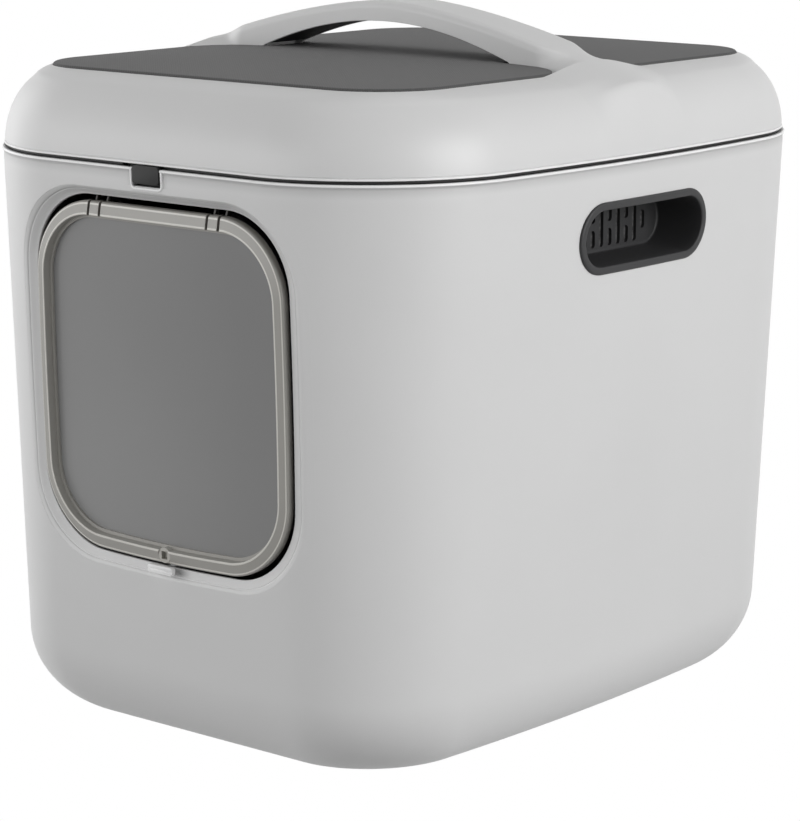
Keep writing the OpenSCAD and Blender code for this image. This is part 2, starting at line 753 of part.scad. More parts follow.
// Section of a foot from side to side: flat-topped near the arch, bell-shaped on the shoulder
bell_y = [1, 0.93, 0.82, 0.66, 0.48, 0.25, 0, -0.25, -0.48, -0.66, -0.82, -0.93, -1];
function bell(c) = pow(cos(90 * abs(c)), 1.5);
function flat_top(c, h, rise) =
    let (d = h * (1 - abs(c)))
    let (r = min(4.5, rise))
    abs(c) >= 1 ? 0 : 1 - (d < r ? (r - sqrt(r * r - (r - d) * (r - d))) / rise : 0);
function foot_section(x, shrink) =
    let (h = foot_half(x) - shrink)
    let (low = x < panel_x ? crest_z - 3.4 : 0)
    let (m = blend((x - flare_from + 6) / 38))
    let (floor_z = (low > 0 ? low : shoulder_z(x, h) - 1.6) - (shrink > 0 ? 9 : 0))
    [
        [x, -h * 0.9, floor_z],
        [x, h * 0.9, floor_z],
        for (c = bell_y)
            let (base = low > 0 ? crest_z - 0.4 : shoulder_z(x, h * c) - 0.9)
            let (rise = max(0.2, ridge_z(x) - base - shrink))
            let (s = (1 - m) * flat_top(c * 0.999, h, rise) + m * bell(c))
            [x, h * c, base - shrink * 0.8 + rise * s]
    ];
foot_stations = [
    arch_end + 0.4,
    for (back = [43, 35, 27, 20, 14, 8, 4, 1.5, 0.2, -1]) panel_x - back,
    for (back = [38, 30, 22, 16, 12, 9, 6.6, 4.8, 3.4, 2.4]) half_w - back
];
hollow_stations = [
    arch_end + 4,
    for (back = [35, 20, 8, -1]) panel_x - back,
    for (back = [30, 18]) half_w - back
];

module arch_foot() {
    difference() {
        skin([for (x = foot_stations) foot_section(x, 0)]);
        skin([for (x = hollow_stations) foot_section(x, 2.6)]);
    }
}

// Gusset between the shoulder and the ledge, on the inside of the lid
module gusset() {
    hull() {
        translate([-4.6, 0, 12]) cube([1.2, 2, 6], center = true);
        translate([-22, 0, 38]) cube([6, 2, 1.2], center = true);
        translate([-42, 0, shoulder_h - panel_t - 1.6]) cube([8, 2, 1.2], center = true);
    }
}

module lid_cover() {
    color(shell_grey) {
        difference() {
            union() {
                lid_shell();
                for (side = [-1, 1], along = [-118, -82, 82, 118])
                    translate([side * (half_w - 1.2 - 4.6 * pow(along / 118, 2)), along, lid_z])
                        scale([side, 1, 1]) gusset();
            }
            for (side = [-1, 1]) scale([side, 1, 1])
                skin([for (x = hollow_stations) foot_section(x, 2.6)]);
        }
        skin([
            for (k = [-7 : 7])
                arch_section((arch_end + 3) * k / 7)
        ]);
        for (side = [-1, 1]) scale([side, 1, 1]) arch_foot();
    }
}

// Dark frame at the seam, with a skirt that drops inside the rim
module lid_frame() {
    function at(inset, z) = at_height(outline(inset, corner_r - 0.8 * inset, 1), z);
    color(dark_grey) difference() {
        skin([
            at(lid_in + 0.9, body_h + seat_gap),
            at(lid_in + 0.9, lid_z),
            at(lid_in + 3, lid_z),
            at(lid_in + 3.6, lid_z + 7),
            at(lid_in + 5.8, lid_z + 7),
            at(lid_in + 5, body_h - skirt_h),
            at(wall + 0.7, body_h - skirt_h),
            at(wall + 0.7, body_h + seat_gap)
        ], looped = true);
        block([-22, -half_d - 2, body_h - skirt_h - 1], [22, -half_d + 14, lid_z + 9]);
    }
}

// Domed panel in the top of the lid, cut away at the feet of the arch; its innermost ring is round
dome_eye = 9;
foot_gap = 0.7;
function dome_ring(part, lower) = [
    for (p = rounded(panel_x - panel_fit, panel_y - panel_fit, panel_r - panel_fit,
            corner_steps, side_steps, end_steps))
        let (share = part > 0 ? part : dome_eye / norm(p))
        [p.x * share, p.y * share, crest_z + panel_crown * (1 - part * part) - lower]
];
module top_panel() {
    color([0.3, 0.3, 0.3]) difference() {
        skin([
            for (part = [0, 0.4, 0.72, 1]) dome_ring(part, panel_t),
            for (part = [1, 0.72, 0.4, 0]) dome_ring(part, 0)
        ]);
        for (side = [-1, 1])
            mirror([side < 0 ? 1 : 0, 0, 0]) translate([0, 0, crest_z - 20])
                linear_extrude(height = 40) polygon([
                    [arch_end, -arch_w / 2 - foot_gap],
                    for (k = [0 : 8])
                        let (x = flare_from + (panel_x - flare_from) * sin(90 * k / 8))
                        [x + (k == 8 ? 20 : 0), -foot_half(x - 0.02) - foot_gap],
                    for (k = [8 : -1 : 0])
                        let (x = flare_from + (panel_x - flare_from) * sin(90 * k / 8))
                        [x + (k == 8 ? 20 : 0), foot_half(x - 0.02) + foot_gap],
                    [arch_end, arch_w / 2 + foot_gap]
                ]);
    }
}

// Dark strip under the arch
module handle_liner() {
    reach = arch_end - 2;
    color(dark_grey) translate([0, arch_w / 2 - arch_side - 0.3, 0]) rotate([90, 0, 0])
        linear_extrude(height = arch_w - 2 * arch_side - 0.6) polygon([
            for (k = [-12 : 12]) let (x = reach * k / 12) [x, arch_under(x) + 0.4],
            for (k = [12 : -1 : -12]) let (x = reach * k / 12) [x, arch_under(x) + 0.4 + liner_t]
        ]);
}

// Hinges at the rear of the lid

hinge_y = half_d + knuckle_r + 3.1;
hinge_z = body_h;
leaf_w = 16;
lug_w = (hinge_w - leaf_w - 0.8) / 2;
function lid_back(t) = half_d - shoulder_in(t);
function rear_wall(z) = half_d - wall_in(z);

module hinge_bracket(side) {
    low = body_h - 30;
    color(dark_grey) translate([side * hinge_span / 2, 0, 0]) difference() {
        union() {
            across(hinge_w) polygon([
                [rear_wall(low), low], [rear_wall(low) + 2, low],
                [rear_wall(low) + 3.2, low + 2],
                [rear_wall(body_h - 8) + 3.2, body_h - 8],
                [rear_wall(body_h - 8), body_h - 8]
            ]);
            for (end = [-1, 1])
                translate([end * (hinge_w - lug_w) / 2, 0, 0]) {
                    translate([0, hinge_y, hinge_z]) bar(knuckle_r, lug_w);
                    across(lug_w) polygon([
                        [rear_wall(low + 6) + 2, low + 6],
                        [hinge_y + knuckle_r * cos(-28), hinge_z + knuckle_r * sin(-28)],
                        [hinge_y, hinge_z],
                        [hinge_y - knuckle_r, hinge_z],
                        [rear_wall(body_h - 8) + 1.6, body_h - 8]
                    ]);
                }
        }
        translate([0, hinge_y, hinge_z]) bar(hinge_pin_r + pin_fit, hinge_w + 2);
        for (end = [-1, 1])
            translate([end * screw_x, rear_wall(screw_z) - 3, screw_z]) rotate([-90, 0, 0])
                cylinder(r = screw_r + pin_fit, h = 10, $fn = 24);
    }
}
module hinge_bracket_right() { hinge_bracket(1); }
module hinge_bracket_left() { hinge_bracket(-1); }

// Pan-headed screws
screw_r = 1.6;
screw_head_r = 3;
screw_x = 5;
screw_z = body_h - 20;
module screw(length) {
    rotate([-90, 0, 0]) {
        cylinder(r = screw_head_r, h = 1.8, $fn = 24);
        translate([0, 0, -length]) cylinder(r = screw_r, h = length + 0.1, $fn = 24);
    }
}
module bracket_screws() {
    color(steel_grey) for (side = [-1, 1], end = [-1, 1])
        translate([side * hinge_span / 2 + end * screw_x, rear_wall(screw_z) + 3.2 + 0.25, screw_z])
            screw(3);
}

module hinge_pin(side) {
    color(steel_grey) translate([side * hinge_span / 2, hinge_y, hinge_z]) {
        bar(hinge_pin_r, hinge_w + 1);
        for (end = [-1, 1])
            translate([end * (hinge_w / 2 + 0.9), 0, 0]) bar(hinge_pin_r + 1.2, 1.2);
    }
}
module hinge_pin_right() { hinge_pin(1); }
module hinge_pin_left() { hinge_pin(-1); }

// Leaf that follows the rear of the lid down to its knuckle
leaf_gap = 0.15;
module hinge_leaf(side) {
    steps = [4, 8, 14, 20, 26, 32];
    color(dark_grey) translate([side * hinge_span / 2, 0, 0]) difference() {
        union() {
            across(leaf_w + 14) polygon([
                for (t = steps) [lid_back(t) + leaf_gap, lid_z + shoulder_h * sin(t)],
                for (i = [len(steps) - 1 : -1 : 0])
                    [lid_back(steps[i]) + 2.8, lid_z + shoulder_h * sin(steps[i]) + (i == 5 ? -0.8 : 0.5)]
            ]);
            translate([0, hinge_y, hinge_z]) bar(knuckle_r, leaf_w);
            across(leaf_w) polygon([
                [hinge_y - 3, hinge_z + 2], [hinge_y + 2, hinge_z + 4.5],
                [lid_back(14) + 2, lid_z + shoulder_h * sin(14) + 1],
                [lid_back(4) + 0.6, lid_z + shoulder_h * sin(4)]
            ]);
        }
        translate([0, hinge_y, hinge_z]) bar(hinge_pin_r + pin_fit, hinge_w + 2);
        for (end = [-1, 1])
            translate([end * 11, lid_back(20) - 6, leaf_screw_z]) rotate([-90, 0, 0])
                cylinder(r = screw_r + pin_fit, h = 14, $fn = 24);
    }
}
leaf_screw_z = lid_z + shoulder_h * sin(17);
module hinge_leaf_right() { hinge_leaf(1); }
module hinge_leaf_left() { hinge_leaf(-1); }
module leaf_screws() {
    color(steel_grey) for (side = [-1, 1], end = [-1, 1])
        translate([side * hinge_span / 2 + end * 11, lid_back(14) + 2.9, leaf_screw_z]) screw(3);
}

// Latch at the front of the lid

latch_y = -rim_y + 7.9;
latch_z = body_h + 10;
tab_face = -rim_y - bead_out - 0.2;
leg_y = -rim_y + 5.9;
module lid_latch() {
    color(trim_grey) difference() {
        union() {
            // Finger tab
            translate([0, tab_face + 3, body_h - tab_h / 2 + 0.7]) rotate([90, 0, 0])
                linear_extrude(height = 3) offset(r = 2.4, $fn = 24)
                    square([tab_w - 4.8, tab_h - 3.4], center = true);
            block([-tab_w / 2 + 2.4, tab_face + 2, body_h - 5.4], [tab_w / 2 - 2.4, leg_y + 1, body_h + 0.8]);
            // Inner plate with the two hooks
            block(
                [-hook_x - hook_w / 2, leg_y, hook_z - 3.6],
                [hook_x + hook_w / 2, leg_y + 2.2, body_h + 1.4]
            );
            for (side = [-1, 1])
                translate([side * hook_x, 0, 0]) across(hook_w - 0.6) polygon([
                    [leg_y + 1, hook_z - 3.6], [leg_y + 1, hook_z - 0.4],
                    [leg_y - 1.7, hook_z - 0.4], [leg_y - 1.7, hook_z - 1.2], [leg_y, hook_z - 3.6]
                ]);
            // Arm up to the pin
            across(17) polygon([
                [leg_y, body_h - 1], [leg_y + 2.2, body_h - 1],
                [latch_y + 2.9, latch_z], [latch_y - 2.9, latch_z], [latch_y - 2.7, body_h + 3]
            ]);
            translate([0, latch_y, latch_z]) bar(2.9, 17);
        }
        translate([0, latch_y, latch_z]) bar(latch_pin_r + pin_fit, 60);
    }
}

// Bracket inside the lid that carries the latch pin, seated on the seam frame at both ends
bracket_half = 31;
bracket_foot = 7.5;
lug_in = 17;
lug_t = 2;
module latch_bracket() {
    color(dark_grey) difference() {
        union() {
            block([-bracket_half, latch_y + 4.6, body_h + 4], [bracket_half, latch_y + 6.6, latch_z + 5]);
            for (side = [-1, 1]) scale([side, 1, 1]) {
                block(
                    [lug_in, latch_y - 2.4, latch_z - 4],
                    [lug_in + lug_t, latch_y + 5, latch_z + 3.6]
                );
                block(
                    [bracket_half - bracket_foot, latch_y - 0.6, body_h + 4],
                    [bracket_half, latch_y + 5, body_h + 8.4]
                );
            }
        }
        translate([0, latch_y, latch_z]) bar(latch_pin_r, 2 * bracket_half);
    }
}
module latch_pin() {
    color(steel_grey) translate([0, latch_y, latch_z]) bar(latch_pin_r, 2 * (lug_in + lug_t) + 0.4);
}

// Torsion spring round the pin, wound as a helix, with one leg to the bracket
spring_r = 2.7;
spring_wire = 0.45;
spring_turns = 4;
spring_steps = 10;
module latch_spring() {
    total = spring_turns * spring_steps;
    color(steel_grey) translate([9.6, latch_y, latch_z]) {
        skin([
            for (i = [0 : total])
                let (t = 360 * i / spring_steps)
                [
                    for (k = [0 : 4])
                        let (u = -72 * k)
                        let (r = spring_r + spring_wire * cos(u))
                        [i * 1.25 / spring_steps + spring_wire * sin(u), r * cos(t), r * sin(t)]
                ]
        ]);
        translate([spring_turns * 1.25, spring_r, 0.2]) rotate([-90, 0, 0])
            cylinder(r = spring_wire, h = 4.6 - spring_r, $fn = 12);
    }
}

base_tub();
grip_cup_right();
grip_cup_left();
filter_pad_right();
filter_pad_left();
filter_cover_right();
filter_cover_left();
flap_clip_right();
flap_clip_left();
hinge_bracket_right();
hinge_bracket_left();
hinge_pin_right();
hinge_pin_left();
bracket_screws();
flap_frame();
flap_pane();
flap_keeper();
flap_pin_right();
flap_pin_left();
flap_lock();
flap_lock_plate();
lid_cover();
lid_frame();
top_panel();
handle_liner();
hinge_leaf_right();
hinge_leaf_left();
leaf_screws();
latch_bracket();
latch_pin();
latch_spring();
lid_latch();
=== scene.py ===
"""Enclosed litter box with a lifting lid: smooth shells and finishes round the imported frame."""
import math

import bmesh
import bpy
import numpy as np
from mathutils import Matrix, Vector


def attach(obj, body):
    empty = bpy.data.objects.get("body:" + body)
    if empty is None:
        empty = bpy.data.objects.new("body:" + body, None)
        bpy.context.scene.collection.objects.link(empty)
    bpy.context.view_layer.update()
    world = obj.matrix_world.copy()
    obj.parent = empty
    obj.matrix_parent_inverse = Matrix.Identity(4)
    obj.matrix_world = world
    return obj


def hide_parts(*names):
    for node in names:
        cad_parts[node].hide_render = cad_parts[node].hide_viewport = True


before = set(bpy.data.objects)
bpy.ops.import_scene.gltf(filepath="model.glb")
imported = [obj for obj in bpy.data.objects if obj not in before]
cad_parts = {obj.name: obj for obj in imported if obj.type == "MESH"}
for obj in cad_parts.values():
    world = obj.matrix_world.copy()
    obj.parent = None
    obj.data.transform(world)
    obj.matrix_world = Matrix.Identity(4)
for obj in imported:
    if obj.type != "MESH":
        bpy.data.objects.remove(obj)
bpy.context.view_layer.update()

MM = 0.001
scene = bpy.context.scene

# Driving sizes in millimetres, the same ones that the solids are built from
BODY_W, BODY_D, BODY_H = 400.0, 478.0, 370.0
WALL_LEAN, FRONT_LEAN, CORNER_R, CORNER_SHRINK = 21.8, 16.8, 102.0, 35.0
FOOT_R, FOOT_H, FOOT_CORNER, SIDE_BOW, WALL = 49.0, 55.0, 0.36, 19.6, 3.0
BEAD_OUT = 0.9
FLAP_W, FLAP_H, FLAP_DROP, FLAP_R = 209.0, 222.3, 24.5, 48.0
FLAP_SIDE_BULGE, FLAP_FOOT_BULGE = 2.0, 4.0
BAND_SIDE, BAND_END, FLAP_TILT = 7.0, 8.8, 1.6
FLAP_GAP, DISH_W, EDGE_IN = 2.4, 11.0, 5.0
GRIP_L, GRIP_H, GRIP_DROP, FLANGE_W, FLANGE_T = 133.0, 45.0, 46.0, 5.0, 1.9
CUP_DEPTH, CUP_T, SLOT_PITCH, SLOT_W = 34.0, 2.0, 8.8, 4.6
SEAM_H, SHOULDER_H, SHOULDER_W, LID_IN, LID_WALL = 2.0, 48.4, 43.0, 1.2, 2.5
PANEL_CROWN, PANEL_T, PANEL_R = 5.0, 2.6, 49.0
ARCH_RISE, ARCH_W, ARCH_SPAN, ARCH_OPEN = 38.0, 40.0, 110.0, 23.7
TAB_W, TAB_H = 22.0, 9.6

HALF_W, HALF_D = BODY_W / 2, BODY_D / 2
LID_Z = BODY_H + SEAM_H
CREST_Z = LID_Z + SHOULDER_H
CREST_IN = LID_IN + SHOULDER_W
PANEL_X, PANEL_Y = HALF_W - CREST_IN - 0.8, HALF_D - CREST_IN + 0.2
FLAP_TOP = BODY_H - FLAP_DROP
FLAP_FOOT = FLAP_TOP - FLAP_H
FLAP_MID = (FLAP_TOP + FLAP_FOOT) / 2
GRIP_Z = BODY_H - GRIP_DROP


# Shared geometry, in millimetres

def blend01(t):
    """Even blend from 0 to 1."""
    u = np.clip(t, 0.0, 1.0)
    return u * u * (3 - 2 * u)


def arc(cx, cy, r, start, steps):
    """Quarter turn as points, both ends included."""
    t = np.radians(start + 90.0 * np.arange(steps + 1) / steps)
    return np.column_stack([cx + r * np.cos(t), cy + r * np.sin(t)])


def between(p, q, stops):
    """Points on a straight stretch at the given shares, ends left out."""
    stops = np.asarray(stops)[:, None]
    return np.asarray(p) * (1 - stops) + np.asarray(q) * stops


def even(count):
    return np.arange(1, count) / count


def turns(first, last, count):
    """Evenly spaced angles in radians, from limits in degrees."""
    return [math.radians(a) for a in np.linspace(first, last, count)]


def rounded(a, b, r, turn=24, tall=40, flat=20, tall_stops=None):
    """Rounded rectangle, counter-clockwise from the right-hand side's upper end."""
    up = even(tall) if tall_stops is None else tall_stops(b - r)
    across = even(flat)
    return np.vstack([
        arc(a - r, b - r, r, 0, turn), between((a - r, b), (r - a, b), across),
        arc(r - a, b - r, r, 90, turn), between((-a, b - r), (-a, r - b), up),
        arc(r - a, r - b, r, 180, turn), between((r - a, -b), (a - r, -b), across),
        arc(a - r, r - b, r, 270, turn), between((a, r - b), (a, b - r), up),
    ])


def bow(points, share):
    """Draws the long sides in towards the corners."""
    out = np.array(points)
    out[:, 0] *= 1 - share * SIDE_BOW / HALF_W * (out[:, 1] / HALF_D) ** 2
    return out


def outline(inset, r, share, front=None, **steps):
    """Outline of the box at an inset; the front may have an inset of its own."""
    shift = 0 if front is None else (front - inset) / 2
    out = bow(rounded(HALF_W - inset, HALF_D - inset - shift, r, **steps), share)
    out[:, 1] += shift
    return out


def lift(points, z):
    return np.column_stack([points, np.full(len(points), float(z))])


def wall_in(z):
    return WALL_LEAN * (BODY_H - z) / BODY_H


def front_in(z):
    return FRONT_LEAN * (BODY_H - z) / BODY_H


def wall_corner(z):
    return CORNER_R - CORNER_SHRINK * (BODY_H - z) / BODY_H


def wall_ring(z, thick=0.0, **steps):
    return lift(outline(wall_in(z) + thick, wall_corner(z) - thick, 1, front_in(z) + thick, **steps), z)


def foot_ring(angle, thick=0.0, **steps):
    more = thick + (FOOT_R - thick) * (1 - math.sin(math.radians(angle)))
    z = thick + (FOOT_H - thick) * (1 - math.cos(math.radians(angle)))
    radius = wall_corner(FOOT_H) - thick - FOOT_CORNER * (more - thick)
    return lift(outline(wall_in(FOOT_H) + more, radius, 1, front_in(FOOT_H) + more, **steps), z)


def front_y(x, z):
    """Where the outside of the front wall lies."""
    x, z = np.broadcast_arrays(np.asarray(x, float), np.asarray(z, float))
    inset = wall_in(z)
    shift = (front_in(z) - inset) / 2
    half = HALF_D - inset - shift
    r = wall_corner(z)
    y = -half
    for _ in range(6):
        raw = np.abs(x) / (1 - SIDE_BOW / HALF_W * (y / HALF_D) ** 2)
        over = np.clip(raw - (HALF_W - inset - r), 0, r)
        y = -(half - r) - np.sqrt(np.maximum(r * r - over * over, 0))
    return y + shift


def side_x(y, z):
    """Where the outside of the right-hand wall lies, along its straight stretch."""
    along = np.asarray(y) - (front_in(z) - wall_in(z)) / 2
    return (HALF_W - wall_in(z)) * (1 - SIDE_BOW / HALF_W * (along / HALF_D) ** 2)


CREST_SET = 0.4  # how far the crest of the surround lies behind the wall
CREST_MID_Y = float(front_y(0, FLAP_MID)) + CREST_SET
LEAN = math.tan(math.radians(FLAP_TILT))


def crest_y(z):
    """Y of the surround's crest, which leans back with the flap."""
    return CREST_MID_Y - (np.asarray(z) - FLAP_MID) * LEAN


def flap_outline(side, top, foot, r, turn=20, tall=24, flat=24):
    """Outline of the flap in X and Z, grown by side and end."""
    a = FLAP_W / 2 - FLAP_SIDE_BULGE + side
    b = (FLAP_H - FLAP_FOOT_BULGE + top + foot) / 2
    zc = FLAP_FOOT + FLAP_FOOT_BULGE - foot + b
    p = rounded(a, b, r, turn=turn, tall=tall, flat=flat)
    x, z = p[:, 0], p[:, 1]
    drop = np.where(z < 0, FLAP_FOOT_BULGE * (1 - (x / a) ** 2) * (z / b) ** 2, 0)
    return np.column_stack([x * (1 + FLAP_SIDE_BULGE / a * (1 - (z / b) ** 2)), zc + z - drop])


# Mesh helpers

WELD = 1e-6  # metres


def add_object(name, points, faces):
    """Smooth mesh object from points in millimetres."""
    mesh = bpy.data.meshes.new(name)
    mesh.from_pydata([tuple(p) for p in np.asarray(points) * MM], [], [tuple(map(int, f)) for f in faces])
    mesh.validate()
    mesh.update()
    mesh.polygons.foreach_set("use_smooth", [True] * len(mesh.polygons))
    obj = bpy.data.objects.new(name, mesh)
    scene.collection.objects.link(obj)
    return obj


def skin(rings, looped=False, caps=True):
    """Points and quads through rings of equal length, closed on itself or capped."""
    size = len(rings[0])
    count = len(rings)
    faces = []
    for j in range(count if looped else count - 1):
        k = (j + 1) % count
        for i in range(size):
            n = (i + 1) % size
            faces.append((j * size + i, j * size + n, k * size + n, k * size + i))
    if caps and not looped:
        faces.append(tuple(range(size - 1, -1, -1)))
        faces.append(tuple((count - 1) * size + i for i in range(size)))
    return np.vstack(rings), faces


def join_parts(parts):
    """One list of points and faces from several."""
    points, faces, start = [], [], 0
    for p, f in parts:
        points.append(np.asarray(p))
        faces.extend(tuple(i + start for i in face) for face in f)
        start += len(p)
    return np.vstack(points), faces


def weld(obj):
    """Joins points that lie on each other and turns all faces outwards."""
    bm = bmesh.new()
    bm.from_mesh(obj.data)
    bmesh.ops.remove_doubles(bm, verts=bm.verts, dist=WELD)
    bmesh.ops.recalc_face_normals(bm, faces=bm.faces)
    bm.to_mesh(obj.data)
    bm.free()
    return obj


def sharpen(obj, degrees):
    """Smooth shading that breaks at edges sharper than the angle."""
    bm = bmesh.new()
    bm.from_mesh(obj.data)
    limit = math.radians(degrees)
    for face in bm.faces:
        face.smooth = True
    for edge in bm.edges:
        edge.smooth = not (len(edge.link_faces) == 2 and edge.calc_face_angle(0.0) > limit)
    bm.to_mesh(obj.data)
    bm.free()
    return obj


def carve(obj, parts):
    """Cuts closed parts, given as points and faces, out of a piece."""
    cutter = weld(add_object("cutter", *join_parts(parts)))
    modifier = obj.modifiers.new("cut", "BOOLEAN")
    modifier.operation = "DIFFERENCE"
    modifier.solver = "EXACT"
    modifier.object = cutter
    apply_modifiers(obj)
    bpy.data.objects.remove(cutter)


def apply_modifiers(obj):
    """Puts the evaluated mesh in the place of the mesh and its modifiers."""
    depsgraph = bpy.context.evaluated_depsgraph_get()
    depsgraph.update()
    mesh = bpy.data.meshes.new_from_object(obj.evaluated_get(depsgraph))
    obj.modifiers.clear()
    old = obj.data
    obj.data = mesh
    bpy.data.meshes.remove(old)


def tube(path, radius_out, radius_up, steps):
    """Rounded bar swept along a path in the X and Z plane, its section flattened to two radii."""
    path = np.asarray(path, float)
    ahead = np.gradient(path, axis=0)
    ahead /= np.linalg.norm(ahead, axis=1)[:, None]
    aside = np.column_stack([-ahead[:, 2], np.zeros(len(path)), ahead[:, 0]])
    turn = 2 * np.pi * np.arange(steps) / steps
    rings = [p + np.outer(np.cos(turn), [0, -radius_out, 0]) + np.outer(np.sin(turn), s * radius_up)
             for p, s in zip(path, aside)]
    return skin(rings)


def prism(points, y_low, y_high):
    """Solid between two Y values from an outline in X and Z."""
    low = np.column_stack([points[:, 0], np.full(len(points), y_low), points[:, 1]])
    high = low.copy()
    high[:, 1] = y_high
    return skin([low, high])


def box_solid(low, high):
    (x0, y0, z0), (x1, y1, z1) = low, high
    points = [(x0, y0, z0), (x1, y0, z0), (x1, y1, z0), (x0, y1, z0),
              (x0, y0, z1), (x1, y0, z1), (x1, y1, z1), (x0, y1, z1)]
    faces = [(0, 3, 2, 1), (4, 5, 6, 7), (0, 1, 5, 4), (1, 2, 6, 5), (2, 3, 7, 6), (3, 0, 4, 7)]
    return points, faces


def stadium(length, height, steps=32, along=24):
    """Long rounded outline in Y and Z."""
    turn = np.pi * np.arange(steps + 1) / steps
    r = height / 2
    y = length / 2 - r
    return np.vstack([
        np.column_stack([y + r * np.sin(turn), -r * np.cos(turn)]), between((y, r), (-y, r), even(along)),
        np.column_stack([-y - r * np.sin(turn), r * np.cos(turn)]), between((-y, -r), (y, -r), even(along)),
    ])


# Base: one wall from the floor up to the rim and down inside, with its openings cut

DENSE = dict(turn=40, tall=50, flat=30)
TOP_GAP = FLAP_GAP + 1.1  # room for the flap's upper corner as it swings
NOTCH_W = TAB_W + 1.4
NOTCH_R = 2.0
NOTCH_LOW = BODY_H - TAB_H - 2.1
CUP_AT_WALL = FLANGE_W + 0.8 - CUP_T  # inset of the grip cup's outside where it meets the wall

# Shares of the way across the dish: a fine crease, and where the edge starts to round over
CREASE_AT, CREASE_W, CREASE_T = 0.4, 0.045, 0.35
EDGE_AT, EDGE_ROUND, EDGE_T = 0.955, 0.045, 1.2
DISH_SINK = 0.03


def dish_fall(part):
    """Depth of the dish as a share: 0 at the wall, 1 at the edge of the opening."""
    if part <= 0:
        return 0.0
    if part >= 1:
        return 1.0
    return float(blend01(part * 0.92 + 0.04) - blend01(0.04) * (1 - part))


def surround_ring(part, thick):
    """Ring of the moulded surround: 0 at the wall, 1 at the edge of the opening."""
    w = DISH_W * (1 - part)
    points = flap_outline(FLAP_GAP + w, TOP_GAP + w * 0.62, FLAP_GAP + w * 0.8, FLAP_R - 1 + w * 0.66,
                          turn=32, tall=40, flat=40)
    wall_at = front_y(points[:, 0], points[:, 1])
    edge_at = crest_y(points[:, 1]) + EDGE_IN
    y = wall_at + (edge_at - wall_at) * dish_fall(part) + thick
    return np.column_stack([points[:, 0], y, points[:, 1]])


# Rounded lip of the rim: share of the bead's overhang, and how far below the rim
LIP = ((-0.15, 4.4), (-0.22, 3.4), (-0.1, 2.7), (0.35, 2.25), (0.78, 1.85), (0.97, 1.45), (1.0, 1.1),
       (0.9, 0.75), (0.6, 0.35), (0.25, 0.08))


def paint(obj, rings, slots):
    """Gives the faces that follow some rings of a skin another material slot."""
    size = len(rings[0])
    for _ in range(max(slots) + 1):
        obj.data.materials.append(None)
    for slot, rows in slots.items():
        for row in rows:
            for i in range(size):
                obj.data.polygons[row * size + i].material_index = slot


def build_tub():
    """Tub wall with its lip, cut open for the flap, the grips and the latch."""
    rings = [foot_ring(a, **DENSE) for a in np.linspace(0, 86, 22)]
    rings += [wall_ring(z, **DENSE) for z in np.linspace(FOOT_H, BODY_H - 6, 46)]
    for out, down in LIP:
        rings.append(wall_ring(BODY_H - down, -out * BEAD_OUT, **DENSE))
    lip_end = len(rings)
    rings.append(wall_ring(BODY_H, 0.5, **DENSE))
    rings.append(wall_ring(BODY_H, WALL - 0.6, **DENSE))
    rings.append(wall_ring(BODY_H - 0.2, WALL - 0.15, **DENSE))
    rings.append(wall_ring(BODY_H - 0.7, WALL, **DENSE))
    rings += [wall_ring(z, WALL, **DENSE) for z in np.linspace(BODY_H - 8, FOOT_H, 40)]
    rings += [foot_ring(a, WALL, **DENSE) for a in np.linspace(86, 0, 16)]
    tub = add_object("tub_shell", *skin(rings))
    # Painted highlight: the upper face of the rim's lip takes the lighter shell colour
    paint(tub, rings, {1: range(lip_end - 5, lip_end - 1)})
    weld(tub)

    w = DISH_W
    opening = flap_outline(FLAP_GAP + w * 0.9, TOP_GAP + w * 0.56, FLAP_GAP + w * 0.72,
                           FLAP_R - 3 + w * 0.76, turn=24, tall=20, flat=20)
    cuts = [prism(opening, -HALF_D - 20, -HALF_D + 40)]
    inset = CUP_AT_WALL - 0.6
    hole = stadium(GRIP_L - 2 * inset, GRIP_H - 2 * inset)
    for side in (-1, 1):
        ends = [np.column_stack([np.full(len(hole), x), hole[:, 0], GRIP_Z + hole[:, 1]])
                for x in (side * (HALF_W - 30), side * (HALF_W + 20))]
        cuts.append(skin(ends))
    cuts.append(prism(notch_outline(0), -HALF_D - 12, -HALF_D + 12))
    carve(tub, cuts)
    return sharpen(tub, 40)


def notch_outline(grow):
    """U-shaped outline of the latch notch, open towards the top."""
    a = NOTCH_W / 2 + grow
    r = NOTCH_R + grow
    low = NOTCH_LOW - grow
    top = BODY_H + 8
    return np.vstack([
        [(-a, top)], arc(-a + r, low + r, r, 180, 8), arc(a - r, low + r, r, 270, 8), [(a, top)],
    ])


def build_surround():
    """Soft dish round the flap, down to a rounded edge and back behind the wall."""
    shares = np.concatenate([
        np.linspace(-0.42, 0.28, 14), np.linspace(0.31, 0.49, 13), np.linspace(0.53, 0.92, 10),
    ])
    rings = []
    for part in shares:
        crease = CREASE_T * math.exp(-((part - CREASE_AT) / CREASE_W) ** 2)
        rings.append(surround_ring(part, crease - DISH_SINK))
    edge = len(rings)
    for turn in turns(0, 180, 9):
        rings.append(surround_ring(EDGE_AT + EDGE_ROUND * math.sin(turn), (1 - math.cos(turn)) * EDGE_T))
    rings += [surround_ring(part, WALL + DISH_SINK) for part in shares[::-2]]
    surround = add_object("flap_surround", *skin(rings, looped=True))
    # Painted shading on the crease strip, and a painted highlight on the opening's rounded edge
    paint(surround, rings, {1: range(18, 22), 2: range(edge, edge + 3)})
    return sharpen(weld(surround), 60)


